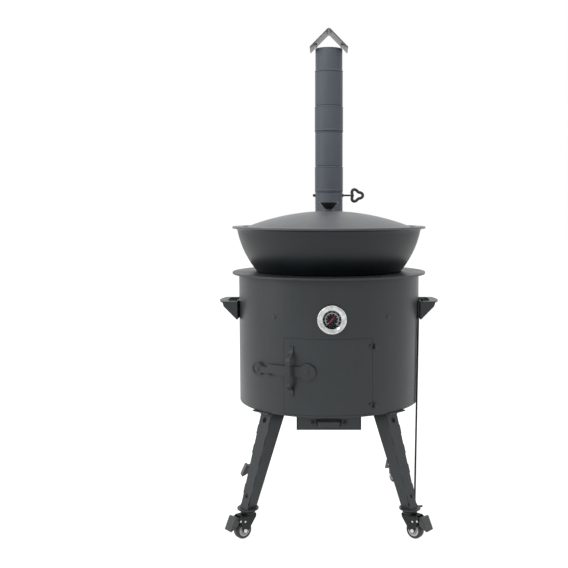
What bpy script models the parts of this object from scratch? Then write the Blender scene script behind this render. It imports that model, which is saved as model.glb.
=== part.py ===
"""Cauldron stove: a steel drum fire box on four splayed legs with braked casters, a round
cauldron with a domed lid seated in its top ring, a rear flue box with a stacked chimney,
a fire door with a drop latch, and an ash drawer.

Metres, +Z up, front towards -Y, floor at z = 0. Pieces are drawn in the drum's frame, whose
axis is x = y = 0, and the whole stove hangs from one empty that centres its footprint."""

import math

import bmesh
import bpy
from mathutils import Matrix, Vector

for old in list(bpy.data.objects):
    bpy.data.objects.remove(old, do_unlink=True)

# Fits and mesh fineness
GAP = 0.0003            # between faces that meet
RUNNING_GAP = 0.0008    # round pieces that turn or slide
OVERRUN = 0.006         # how far a cutter passes what it cuts
MERGE = 0.00001         # vertices closer than this are one
DRUM_SIDES = 48
PIPE_SIDES = 24
SMALL_SIDES = 12

# Casters, from the floor up
WHEEL_RADIUS = 0.021
WHEEL_WIDTH = 0.019
WHEEL_SIDES = 20
WHEEL_TO_CROWN = 0.012
CROWN_THICKNESS = 0.004
RACE_HEIGHT = 0.0105
RACE_RADIUS = 0.018
RACE_SIDES = 12
CASTER_TRAIL = 0.016
FORK_WALL = 0.002
FORK_SIDE_GAP = 0.0015
AXLE_RADIUS = 0.003
AXLE_HEAD_RADIUS = 0.005
AXLE_HEAD_HEIGHT = 0.002
STEM_RADIUS = 0.005
STEM_RISE = 0.006       # above the foot plate
HUB_RADIUS = 0.014
HUB_RECESS = 0.004
PEDAL_WIDTH = 0.020
PEDAL_THICKNESS = 0.003
PEDAL_BARREL_RADIUS = 0.0032
PEDAL_PIN_RADIUS = 0.0016
PEDAL_LIP_BACK = 0.015      # the pedal's upper corner behind and over its pin
PEDAL_LIP_RISE = 0.0085
PEDAL_REACH = 0.029
PEDAL_DROP = 0.0225
PEDAL_TREAD_WIDTH = 0.026   # outside the fork
PEDAL_NECK = 0.0045         # pin to where the pedal widens
SHOE_HALF = 0.003           # the brake shoe under the pin
PEDAL_PIN_BACK = 0.014      # behind the axle
CASTER_TURNS = {
    "front_left": math.radians(-50),
    "front_right": math.radians(50),
    "rear_left": math.radians(-75),
    "rear_right": math.radians(-162),
}

# Legs: folded channels, wide at the drum and narrow at the foot
LEG_HEIGHT = 0.2229
LEG_WALL = 0.003
LEG_FACE_OUT_TOP = 0.2133   # outer face to the drum's axis
LEG_FACE_OUT_FOOT = 0.2883
LEG_WIDTH_TOP = 0.041
LEG_WIDTH_FOOT = 0.028
LEG_DEPTH_TOP = 0.045
LEG_DEPTH_FOOT = 0.027
FOOT_PLATE_RADIUS = 0.0258
FOOT_PLATE_THICKNESS = 0.003
FOOT_PLATE_SIDES = 20
LEG_BRACKET_WIDTH = 0.058
LEG_BRACKET_THICKNESS = 0.003
LEG_BRACKET_OVERHANG = 0.004    # past the drum's wall
LEG_BRACKET_LENGTH = 0.084
FOLD_SLOT_COUNT = 5
FOLD_SLOT_LENGTH = 0.026
FOLD_SLOT_WIDTH = 0.0026
FOLD_SLOT_FIRST_SHARE = 0.10    # of the fold's length, from the top
FOLD_SLOT_PITCH_SHARE = 0.20
UPPER_HOLE_RADIUS = 0.0068
UPPER_HOLE_DOWN = 0.023         # under the drum's lower edge
LOWER_HOLE_RADIUS = 0.0048
LOWER_HOLE_UP = 0.028           # above the foot plate
LEG_TURNS = {
    "front_left": math.radians(-45),
    "front_right": math.radians(45),
    "rear_left": math.radians(-135),
    "rear_right": math.radians(135),
}

# Drum
DRUM_RADIUS = 0.230
DRUM_HEIGHT = 0.323
DRUM_WALL = 0.003
DRUM_FLOOR_THICKNESS = 0.003
RING_RADIUS = 0.2465
RING_THICKNESS = 0.005
RING_OPENING_RADIUS = 0.1826
RING_BEVEL_WIDTH = 0.0036       # the bevel that the cauldron sits on
RING_BEVEL_DEPTH = 0.002
RIVET_RISE = 0.233              # above the drum's lower edge
RIVET_TURNS = {"left": math.radians(-34.3), "right": math.radians(37.7)}
RIVET_SHANK_RADIUS = 0.002
RIVET_HEAD_RADIUS = 0.005
RIVET_HEAD_HEIGHT = 0.0016

# Fire grate over the ash hole of the drum's floor
ASH_HOLE_WIDTH = 0.120
ASH_HOLE_LENGTH = 0.190
ASH_HOLE_FORWARD = 0.045
GRATE_BEARING = 0.012           # how far the grate lies over the hole's edge
GRATE_THICKNESS = 0.008
GRATE_SLOT_COUNT = 7
GRATE_SLOT_WIDTH = 0.009

# Ash drawer in its housing under the floor
HOUSING_WIDTH = 0.1534
HOUSING_HEIGHT = 0.0352
HOUSING_WALL = 0.002
HOUSING_LENGTH = 0.305
HOUSING_FLANGE = 0.006
HOUSING_FRONT = 0.201           # from the drum's axis
DRAWER_SIDE_GAP = 0.001
DRAWER_TOP_GAP = 0.003
DRAWER_WALL = 0.0015
DRAWER_FRONT_THICKNESS = 0.0025
DRAWER_BACK_GAP = 0.004
GRIP_SPAN = 0.076               # bolt to bolt
GRIP_WIDTH = 0.046
GRIP_REACH = 0.018
GRIP_STRAP = 0.002
GRIP_HEIGHT = 0.012
GRIP_FOOT = 0.008               # each way from the bolt
GRIP_RISE_SHARE = 0.52          # of the drawer's height
BOLT_RADIUS = 0.002
BOLT_HEAD_RADIUS = 0.0042
BOLT_HEAD_HEIGHT = 0.0028

# Fire door, cut from the drum's wall
DOOR_LEFT = math.radians(-27.5)
DOOR_RIGHT = math.radians(26.5)
DOOR_SILL = 0.005               # above the drum's lower edge
DOOR_HEIGHT = 0.181
DOOR_KERF = 0.0008
DOOR_STEPS = 12
HINGE_TURN = math.radians(28)
HINGE_STANDOFF = 0.0055
HINGE_BARREL_RADIUS = 0.004
HINGE_PIN_RADIUS = 0.002
HINGE_BARREL_LENGTH = 0.006
HINGE_LEAF_THICKNESS = 0.0016
HINGE_LEAF_LENGTH = 0.008
HINGE_SLEEVE_LEAF_LENGTH = 0.014
HINGE_INSET_UPPER = 0.021       # below the door's upper edge
HINGE_INSET_LOWER = 0.020       # above the door's lower edge
LATCH_TURN = math.radians(-12.8)
LATCH_RISE = 0.1086             # above the drum's lower edge
LATCH_STANDOFF = 0.003
LATCH_THICKNESS = 0.003
LATCH_DISC_RADIUS = 0.024
LATCH_BAR_HALF = 0.0115
LATCH_BAR_SHARE = 0.75          # of the reach, at its full height
LATCH_BLADE_POWER = 1.25        # between a diamond, 1, and a disc, 2
LATCH_NECK_HALF = 0.0072
LATCH_RING_DROP = 0.004         # the ring's centre under the pivot
LATCH_REACH = 0.138             # pivot to ring centre, along the bar
LATCH_RING_RADIUS = 0.016
LATCH_RING_HOLE = 0.0104
LATCH_BLADE_SHARES = (-0.96, -0.85, -0.65, -0.35, -0.1, 0.0, 0.1, 0.35, 0.67)
LATCH_BAR_STEPS = 6
LATCH_PIVOT_RADIUS = 0.003
LATCH_PIVOT_HEAD = 0.0055
LATCH_PIVOT_HEAD_HEIGHT = 0.0016
KEEPER_TURN = math.radians(-37)
KEEPER_WIDTH = 0.014
KEEPER_SHEET = 0.0018
KEEPER_SHELF_REACH = 0.010
PULL_TURN = math.radians(-22.3)
PULL_HEIGHT = 0.118
PULL_RISE = 0.108               # its middle above the drum's lower edge
PULL_STANDOFF = 0.020
PULL_STRAP = 0.0028
PULL_WIDTH = 0.0115
PULL_FOOT = 0.014

# Carrying handles: sheet brackets with a hand hole
HANDLE_TOP_RISE = 0.2552        # above the drum's lower edge
HANDLE_SHEET = 0.0025
HANDLE_HALF_LENGTH = 0.0565
HANDLE_REACH = 0.050
HANDLE_CORNER_REACH = 0.040
HANDLE_DEPTH = 0.046
GUSSET_LIP = 0.0125             # where the gusset's slope starts, under the top
GUSSET_REACH = 0.035
HAND_HOLE_HALF_LENGTH = 0.0455
HAND_HOLE_REACH = 0.028
HAND_HOLE_CHAMFER = 0.008

# Dial thermometer in the drum's front
GAUGE_TURN = math.radians(1.75)
GAUGE_RISE = 0.2325             # above the drum's lower edge
GAUGE_RADIUS = 0.035
GAUGE_SIDES = 32
GAUGE_DEPTH = 0.012
GAUGE_WINDOW_RADIUS = 0.0215
GAUGE_CHAMBER_RADIUS = 0.026
GAUGE_BACK = 0.0022
GAUGE_LIP = 0.0018
GAUGE_DIAL_THICKNESS = 0.0008
GAUGE_GLASS_THICKNESS = 0.0015
GAUGE_STEM_RADIUS = 0.003
GAUGE_STEM_LENGTH = 0.045       # behind the drum's outside
GAUGE_NUT_RADIUS = 0.007
GAUGE_NUT_HEIGHT = 0.004
GAUGE_NUT_SIDES = 6
NEEDLE_LENGTH = 0.0165
NEEDLE_TAIL = 0.008
NEEDLE_HUB_RADIUS = 0.0022
NEEDLE_HALF_WIDTH = 0.0010
NEEDLE_THICKNESS = 0.0009
NEEDLE_TURN = math.radians(-220)    # cold: clockwise from upright, seen from the front

# Cauldron and lid
BOWL_RADIUS = 0.2377
BOWL_WALL = 0.0055
BOWL_FOOT_STEPS = 5         # from the lowest point to the ring
BOWL_SHOULDER_STEPS = 3     # from the ring to the rim
BOWL_INSIDE_STEPS = 6
RIM_DROP = 0.0356               # rim's top below the bowl's centre
RIM_RADIUS = 0.246
RIM_THICKNESS = 0.006
RIM_FILLET = 0.004
SEAT_RADIUS = 0.222
SEAT_WIDTH = 0.009
SEAT_DEPTH = 0.0095
SEAT_THICKNESS = 0.006
LID_SIDE_GAP = 0.002
LID_EDGE = 0.0034
LID_DOME_RADIUS = 0.570
LID_WALL = 0.004
LID_STEPS = 5
KNOB_HEIGHT = 0.0235
KNOB_TOP_RADIUS = 0.0243
KNOB_NECK_RADIUS = 0.0105
KNOB_BOSS_HEIGHT = 0.004
KNOB_EDGE = 0.003
KNOB_CROWN = 0.0012

# Rear flue and chimney
PIPE_RADIUS = 0.040
PIPE_WALL = 0.0015
SPIGOT_STEP = 0.0011
BELL_FIT = 0.0005
BELL_LENGTH = 0.071
BODY_LENGTH = 0.101
SPIGOT_LENGTH = 0.061
SHOULDER = 0.002
SECTION_NAMES = ("chimney_lower", "chimney_middle", "chimney_upper")
CHIMNEY_TO_RIM = 0.0191         # air between the pipe and the cauldron's rim
FLUE_WIDTH = 0.090
FLUE_HEIGHT = 0.090
FLUE_RISE = 0.222               # above the drum's lower edge
FLUE_WALL = 0.002
FLUE_BACK_MARGIN = 0.006
FLUE_MOUTH_MARGIN = 0.004
STUB_RISE = 0.054               # flue box top to the stub's shoulder
CAP_HALF_WIDTH = 0.0540
CAP_LENGTH = 0.0915
CAP_SHEET = 0.003
CAP_DROP = 0.002                # its lower edges below the pipe's end
CAP_CREST = 0.004               # half width of the rounded crest
CAP_TAB_WIDTH = 0.020
CAP_TAB_SHEET = 0.002
CAP_TAB_DEPTH = 0.024
CAP_TAB_INSET = 0.0018

# Damper in the lowest chimney section
DAMPER_DOWN = 0.012             # its axis below the section's shoulder
DAMPER_ROD_RADIUS = 0.0022
DAMPER_PLATE_THICKNESS = 0.002
DAMPER_PLATE_GAP = 0.0022
DAMPER_ROD_OUT = 0.033          # from the pipe to the key's loop
DAMPER_COLLAR_RADIUS = 0.0065
DAMPER_COLLAR_THICKNESS = 0.002
DAMPER_NUT_RADIUS = 0.0042
DAMPER_NUT_HEIGHT = 0.005
KEY_MEAN_RADIUS = 0.0178
KEY_LOBE = 0.0038
KEY_BAND = 0.006
KEY_THICKNESS = 0.004
KEY_SIDES = 24
KEY_LOBES = 3

# Poker hung on the right handle
POKER_RADIUS = 0.0025
POKER_BOTTOM = 0.0345
POKER_FOOT = 0.020
POKER_FOOT_DROP = 0.001
POKER_HOOK_DROP = 0.014
POKER_CREST = 0.006             # the hook's rise over the handle
POKER_STANDOFF = 0.001
POKER_WALL_GAP = 0.0005
POKER_LEAN_X = math.radians(0.87)   # towards the drum as it goes down
POKER_LEAN_Y = math.radians(2.9)    # forwards as it goes down
POKER_ARC_STEPS = 6

# Heights and places that follow from the sizes above
AXLE_BACK = CASTER_TRAIL
WHEEL_TOP = 2 * WHEEL_RADIUS
CROWN_BOTTOM = WHEEL_TOP + WHEEL_TO_CROWN
CROWN_TOP = CROWN_BOTTOM + CROWN_THICKNESS
RACE_TOP = CROWN_TOP + RACE_HEIGHT
FOOT_PLATE_BOTTOM = RACE_TOP + GAP
FOOT_PLATE_TOP = FOOT_PLATE_BOTTOM + FOOT_PLATE_THICKNESS
LEG_TOP = FOOT_PLATE_TOP + LEG_HEIGHT
DRUM_FOOT = LEG_TOP + LEG_BRACKET_THICKNESS + GAP
DRUM_TOP = DRUM_FOOT + DRUM_HEIGHT
DRUM_INSIDE = DRUM_RADIUS - DRUM_WALL
WALL_FACE = DRUM_INSIDE * math.cos(math.pi / DRUM_SIDES) - GAP     # for what bears on its inside
RING_BOTTOM = DRUM_TOP + GAP
RING_TOP = RING_BOTTOM + RING_THICKNESS
STEM_OUT = LEG_FACE_OUT_FOOT - LEG_DEPTH_FOOT / 2

BOWL_BEARING = RING_TOP - RING_BEVEL_DEPTH
BOWL_CENTRE = BOWL_BEARING + math.sqrt((BOWL_RADIUS + GAP) ** 2 - RING_OPENING_RADIUS ** 2)
RIM_TOP = BOWL_CENTRE - RIM_DROP
SEAT_HEIGHT = RIM_TOP - SEAT_DEPTH
LID_BOTTOM = SEAT_HEIGHT + GAP
LID_RADIUS = SEAT_RADIUS - LID_SIDE_GAP
LID_DOME_CENTRE = LID_BOTTOM + LID_EDGE - math.sqrt(LID_DOME_RADIUS ** 2 - LID_RADIUS ** 2)
LID_TOP = LID_DOME_CENTRE + LID_DOME_RADIUS

SPIGOT_RADIUS = PIPE_RADIUS - SPIGOT_STEP
BELL_RADIUS = SPIGOT_RADIUS + BELL_FIT + PIPE_WALL
SECTION_PITCH = BELL_LENGTH + BODY_LENGTH + GAP
CHIMNEY_BACK = RIM_RADIUS + CHIMNEY_TO_RIM + BELL_RADIUS
FLUE_BOTTOM = DRUM_FOOT + FLUE_RISE
FLUE_TOP = FLUE_BOTTOM + FLUE_HEIGHT
FLUE_BACK = CHIMNEY_BACK + PIPE_RADIUS + FLUE_BACK_MARGIN
STUB_SHOULDER = FLUE_TOP + STUB_RISE
CHIMNEY_FOOT = STUB_SHOULDER + GAP
CHIMNEY_TOP = CHIMNEY_FOOT + len(SECTION_NAMES) * SECTION_PITCH - GAP + SPIGOT_LENGTH
DAMPER_HEIGHT = CHIMNEY_FOOT + BELL_LENGTH + BODY_LENGTH - DAMPER_DOWN
CAP_FOOT = CHIMNEY_TOP - CAP_DROP

DOOR_BOTTOM = DRUM_FOOT + DOOR_SILL
DOOR_TOP = DOOR_BOTTOM + DOOR_HEIGHT
HINGE_OUT = DRUM_RADIUS + HINGE_STANDOFF
LATCH_HEIGHT = DRUM_FOOT + LATCH_RISE
LATCH_INSIDE = DRUM_RADIUS + LATCH_STANDOFF
HOUSING_TOP = DRUM_FOOT - GAP
HOUSING_BOTTOM = HOUSING_TOP - HOUSING_HEIGHT
HANDLE_TOP = DRUM_FOOT + HANDLE_TOP_RISE
HANDLE_INSIDE = DRUM_RADIUS + GAP
GAUGE_HEIGHT = DRUM_FOOT + GAUGE_RISE
GAUGE_INSIDE = DRUM_RADIUS + GAP
CENTRING = (RING_RADIUS - FLUE_BACK) / 2

# Looks: colour, roughness, metallic
FINISHES = {
    "heat_paint": ((0.062, 0.068, 0.072), 0.62, 0.25),
    "pipe_paint": ((0.085, 0.095, 0.105), 0.55, 0.30),
    "iron_paint": ((0.050, 0.056, 0.060), 0.58, 0.35),
    "lid_paint": ((0.105, 0.112, 0.116), 0.60, 0.20),
    "cast_iron": ((0.030, 0.031, 0.033), 0.75, 0.40),
    "black_steel": ((0.018, 0.019, 0.021), 0.50, 0.50),
    "black_knob": ((0.008, 0.008, 0.009), 0.45, 0.10),
    "zinc": ((0.520, 0.530, 0.540), 0.35, 0.95),
    "stainless": ((0.620, 0.620, 0.630), 0.25, 1.00),
    "dial_black": ((0.012, 0.012, 0.014), 0.55, 0.00),
    "needle_red": ((0.560, 0.030, 0.020), 0.45, 0.00),
    "clear_glass": ((0.800, 0.850, 0.860), 0.05, 0.00),
    "tyre_rubber": ((0.035, 0.036, 0.038), 0.70, 0.00),
    "brake_grey": ((0.075, 0.080, 0.080), 0.60, 0.10),
}


def finish(name):
    """The named material, made when it is first asked for."""
    if name in bpy.data.materials:
        return bpy.data.materials[name]
    colour, roughness, metallic = FINISHES[name]
    material = bpy.data.materials.new(name)
    material.use_nodes = True
    shader = material.node_tree.nodes["Principled BSDF"]
    shader.inputs["Base Color"].default_value = (*colour, 1)
    shader.inputs["Roughness"].default_value = roughness
    shader.inputs["Metallic"].default_value = metallic
    return material


def empty(name, place=(0, 0, 0), parent=None):
    """An empty to hang pieces from."""
    holder = bpy.data.objects.new(name, None)
    holder.location = place
    holder.parent = parent
    bpy.context.scene.collection.objects.link(holder)
    return holder


def add_piece(name, mesh, material, pivot=(0, 0, 0), turn=0.0, parent=None):
    """One named piece: drawn facing -Y with its pivot given, then turned about the drum's axis."""
    piece = bpy.data.objects.new(name, mesh)
    piece.location = Matrix.Rotation(turn, 4, "Z") @ Vector(pivot)
    piece.rotation_euler = (0, 0, turn)
    piece.parent = parent or stove
    if not mesh.materials:
        mesh.materials.append(finish(material))
    bpy.context.scene.collection.objects.link(piece)
    return piece


def mesh_from(name, bm, pivot=(0, 0, 0)):
    """A smooth-shaded mesh of bm with its origin at the pivot."""
    bmesh.ops.translate(bm, vec=-Vector(pivot), verts=bm.verts)
    mesh = bpy.data.meshes.new(name)
    bm.to_mesh(mesh)
    bm.free()
    mesh.shade_smooth()
    mesh.set_sharp_from_angle(angle=math.radians(32))
    return mesh


def build(name, bm, material, pivot=(0, 0, 0), turn=0.0, parent=None):
    """A piece that has a mesh of its own."""
    return add_piece(name, mesh_from(name, bm, pivot), material, pivot, turn, parent)


def boolean(bm, tool, operation):
    """The solid bm after an exact Boolean with the solid tool; both meshes are used up."""
    holders = []
    for part in (bm, tool):
        mesh = bpy.data.meshes.new("boolean_operand")
        part.to_mesh(mesh)
        part.free()
        holders.append(bpy.data.objects.new("boolean_operand", mesh))
        bpy.context.scene.collection.objects.link(holders[-1])
    modifier = holders[0].modifiers.new("boolean", "BOOLEAN")
    modifier.operation = operation
    modifier.solver = "EXACT"
    modifier.object = holders[1]
    graph = bpy.context.evaluated_depsgraph_get()
    result = bmesh.new()
    result.from_mesh(holders[0].evaluated_get(graph).to_mesh())
    for holder in holders:
        mesh = holder.data
        bpy.data.objects.remove(holder, do_unlink=True)
        bpy.data.meshes.remove(mesh)
    bmesh.ops.remove_doubles(result, verts=result.verts, dist=MERGE)
    bmesh.ops.dissolve_degenerate(result, edges=result.edges, dist=MERGE)
    return result


def cut(bm, *tools):
    """bm with each tool taken out of it."""
    for tool in tools:
        bm = boolean(bm, tool, "DIFFERENCE")
    return bm


def fuse(bm, *tools):
    """bm joined with each tool that reaches into it."""
    for tool in tools:
        bm = boolean(bm, tool, "UNION")
    return bm


def moved(bm, x=0.0, y=0.0, z=0.0):
    """bm shifted."""
    bmesh.ops.translate(bm, vec=(x, y, z), verts=bm.verts)
    return bm


def tilted(bm, axis, angle):
    """bm turned about an axis through the origin."""
    bmesh.ops.rotate(bm, cent=(0, 0, 0), matrix=Matrix.Rotation(angle, 3, axis), verts=bm.verts)
    return bm


def joined(*meshes):
    """Several closed meshes as one cutter."""
    result = bmesh.new()
    for part in meshes:
        mesh = bpy.data.meshes.new("joined_part")
        part.to_mesh(mesh)
        part.free()
        result.from_mesh(mesh)
        bpy.data.meshes.remove(mesh)
    return result


def turned(profile, sides, ring=False):
    """A solid turned about Z from (radius, height) points; a ring's outline closes on itself."""
    bm = bmesh.new()
    points = [bm.verts.new((radius, 0, height)) for radius, height in profile]
    pairs = list(zip(points, points[1:]))
    if ring:
        pairs.append((points[-1], points[0]))
    edges = [bm.edges.new(pair) for pair in pairs]
    bmesh.ops.spin(
        bm, geom=points + edges, cent=(0, 0, 0), axis=(0, 0, 1),
        angle=math.tau, steps=sides, use_merge=True,
    )
    bmesh.ops.remove_doubles(bm, verts=bm.verts, dist=MERGE)
    bmesh.ops.recalc_face_normals(bm, faces=bm.faces)
    return bm


def slab(outline, depth):
    """A plate drawn up by depth from an (x, y) outline at z = 0."""
    bm = bmesh.new()
    face = bm.faces.new([bm.verts.new((x, y, 0)) for x, y in outline])
    drawn = bmesh.ops.extrude_face_region(bm, geom=[face])
    tops = [item for item in drawn["geom"] if isinstance(item, bmesh.types.BMVert)]
    bmesh.ops.translate(bm, vec=(0, 0, depth), verts=tops)
    bmesh.ops.recalc_face_normals(bm, faces=bm.faces)
    return bm


def side_slab(outline, half_width):
    """A plate square to X from a (y, z) outline, half_width to each side of x = 0."""
    bm = moved(slab(outline, 2 * half_width), z=-half_width)
    swap = Matrix(((0, 0, 1), (1, 0, 0), (0, 1, 0)))
    bmesh.ops.rotate(bm, cent=(0, 0, 0), matrix=swap, verts=bm.verts)
    return bm


def front_slab(outline, near, far):
    """A plate square to Y from an (x, z) outline, between two y places."""
    bm = tilted(slab(outline, far - near), "X", math.pi / 2)
    return moved(bm, y=far)


def block(low, high):
    """A box between two corners."""
    outline = ((low[0], low[1]), (high[0], low[1]), (high[0], high[1]), (low[0], high[1]))
    return moved(slab(outline, high[2] - low[2]), z=low[2])


def facing(bm, out, height):
    """A solid turned about Z laid so that its axis points to the front, at a height."""
    return moved(tilted(bm, "X", math.pi / 2), y=-out, z=height)


def across(bm):
    """A solid turned about Z laid along +X."""
    return tilted(bm, "Y", math.pi / 2)


def pin(radius, low, high, sides=SMALL_SIDES):
    """A plain round bar along Z."""
    return moved(slab(arc((0, 0), radius, 0, math.tau, sides)[:-1], high - low), z=low)


def sector(inside, outside, low, high, start, end, steps):
    """Part of a ring about the drum's axis; angles run from the front towards +X."""
    bm = bmesh.new()
    corners = ((inside, low), (outside, low), (outside, high), (inside, high))
    aim = Vector((math.sin(start), -math.cos(start), 0))
    face = bm.faces.new([bm.verts.new(aim * out + Vector((0, 0, z))) for out, z in corners])
    bmesh.ops.spin(
        bm, geom=[face], cent=(0, 0, 0), axis=(0, 0, 1), angle=end - start, steps=steps,
    )
    bmesh.ops.recalc_face_normals(bm, faces=bm.faces)
    return bm


def loft(rings):
    """A solid skinned over rings of points, with its two ends closed."""
    bm = bmesh.new()
    rows = [[bm.verts.new(point) for point in ring] for ring in rings]
    for low, high in zip(rows, rows[1:]):
        for i, corner in enumerate(low):
            j = (i + 1) % len(low)
            bm.faces.new((corner, low[j], high[j], high[i]))
    bm.faces.new(rows[0])
    bm.faces.new(rows[-1])
    bmesh.ops.recalc_face_normals(bm, faces=bm.faces)
    return bm


def arc(centre, radius, start, end, steps):
    """Points on a circle, both ends included."""
    angles = [start + (end - start) * i / steps for i in range(steps + 1)]
    return [(centre[0] + radius * math.cos(a), centre[1] + radius * math.sin(a)) for a in angles]


def ribbon(path, thickness):
    """The closed outline of a strap of one thickness whose middle follows the path."""
    points = [Vector(point) for point in path]
    runs = [(b - a).normalized() for a, b in zip(points, points[1:])]
    left, right = [], []
    for i, point in enumerate(points):
        before = runs[max(i - 1, 0)]
        after = runs[min(i, len(runs) - 1)]
        normal = Vector((-(before + after).y, (before + after).x)).normalized()
        reach = thickness / 2 / max(normal.dot(Vector((-after.y, after.x))), 0.3)
        left.append(tuple(point + normal * reach))
        right.append(tuple(point - normal * reach))
    return left + right[::-1]


def drum_cutters():
    """What is cut from the drum's wall: doorway, flue mouth, gauge hole and rivet holes."""
    outside = DRUM_RADIUS + OVERRUN
    inside = DRUM_INSIDE - OVERRUN
    doorway = sector(inside, outside, DOOR_BOTTOM, DOOR_TOP, DOOR_LEFT, DOOR_RIGHT, DOOR_STEPS)
    half_mouth = FLUE_WIDTH / 2 - FLUE_WALL - FLUE_MOUTH_MARGIN
    trim = FLUE_WALL + FLUE_MOUTH_MARGIN
    mouth = block((-half_mouth, DRUM_INSIDE / 2, FLUE_BOTTOM + trim),
                  (half_mouth, outside, FLUE_TOP - trim))
    gauge = pin(GAUGE_STEM_RADIUS + GAP, inside, outside)
    gauge = tilted(facing(gauge, 0, GAUGE_HEIGHT), "Z", GAUGE_TURN)
    holes = []
    for turn in RIVET_TURNS.values():
        hole = pin(RIVET_SHANK_RADIUS + GAP, inside, outside)
        holes.append(tilted(facing(hole, 0, DRUM_FOOT + RIVET_RISE), "Z", turn))
    return joined(doorway, mouth, gauge, *holes)


def drum():
    """The rolled wall, its floor and the flange ring that carries the cauldron."""
    wall = turned(
        ((DRUM_RADIUS, DRUM_FOOT), (DRUM_RADIUS, DRUM_TOP),
         (DRUM_INSIDE, DRUM_TOP), (DRUM_INSIDE, DRUM_FOOT)),
        DRUM_SIDES, ring=True,
    )
    build("drum_shell", cut(wall, drum_cutters()), "heat_paint")

    floor_top = DRUM_FOOT + DRUM_FLOOR_THICKNESS
    floor = pin(DRUM_INSIDE - GAP, DRUM_FOOT, floor_top, DRUM_SIDES)
    front = -ASH_HOLE_FORWARD - ASH_HOLE_LENGTH / 2
    hole = block((-ASH_HOLE_WIDTH / 2, front, DRUM_FOOT - OVERRUN),
                 (ASH_HOLE_WIDTH / 2, front + ASH_HOLE_LENGTH, floor_top + OVERRUN))
    build("drum_floor", cut(floor, hole), "heat_paint")

    ease = RING_THICKNESS / 5
    ring = turned(
        ((RING_OPENING_RADIUS, RING_BOTTOM), (RING_RADIUS, RING_BOTTOM),
         (RING_RADIUS, RING_TOP - ease), (RING_RADIUS - ease, RING_TOP),
         (RING_OPENING_RADIUS + RING_BEVEL_WIDTH, RING_TOP),
         (RING_OPENING_RADIUS, BOWL_BEARING)),
        DRUM_SIDES, ring=True,
    )
    build("top_ring", ring, "heat_paint")


def drum_rivets():
    """Two clench rivets through the drum's wall, with a low dome outside and a flat inside."""
    outer = DRUM_RADIUS + GAP
    inner = WALL_FACE
    profile = [
        (0, inner - RIVET_HEAD_HEIGHT), (RIVET_HEAD_RADIUS, inner - RIVET_HEAD_HEIGHT),
        (RIVET_HEAD_RADIUS, inner), (RIVET_SHANK_RADIUS, inner), (RIVET_SHANK_RADIUS, outer),
        (RIVET_HEAD_RADIUS, outer), (RIVET_HEAD_RADIUS * 0.8, outer + RIVET_HEAD_HEIGHT * 0.7),
        (0, outer + RIVET_HEAD_HEIGHT),
    ]
    mesh = mesh_from("drum_rivet", facing(turned(profile, SMALL_SIDES), 0, 0))
    for side, turn in RIVET_TURNS.items():
        rivet = add_piece(f"drum_rivet_{side}", mesh, "heat_paint", turn=turn)
        rivet.location.z = DRUM_FOOT + RIVET_RISE


def fire_grate():
    """A cast grate with long slots, laid over the ash hole."""
    low = DRUM_FOOT + DRUM_FLOOR_THICKNESS + GAP
    high = low + GRATE_THICKNESS
    half_width = ASH_HOLE_WIDTH / 2 + GRATE_BEARING
    front = -ASH_HOLE_FORWARD - ASH_HOLE_LENGTH / 2
    back = front + ASH_HOLE_LENGTH
    plate = block((-half_width, front - GRATE_BEARING, low),
                  (half_width, back + GRATE_BEARING, high))
    pitch = ASH_HOLE_WIDTH / GRATE_SLOT_COUNT
    slots = []
    for i in range(GRATE_SLOT_COUNT):
        middle = (i - (GRATE_SLOT_COUNT - 1) / 2) * pitch
        slots.append(block((middle - GRATE_SLOT_WIDTH / 2, front, low - OVERRUN),
                           (middle + GRATE_SLOT_WIDTH / 2, back, high + OVERRUN)))
    build("fire_grate", cut(plate, joined(*slots)), "cast_iron")


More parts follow.
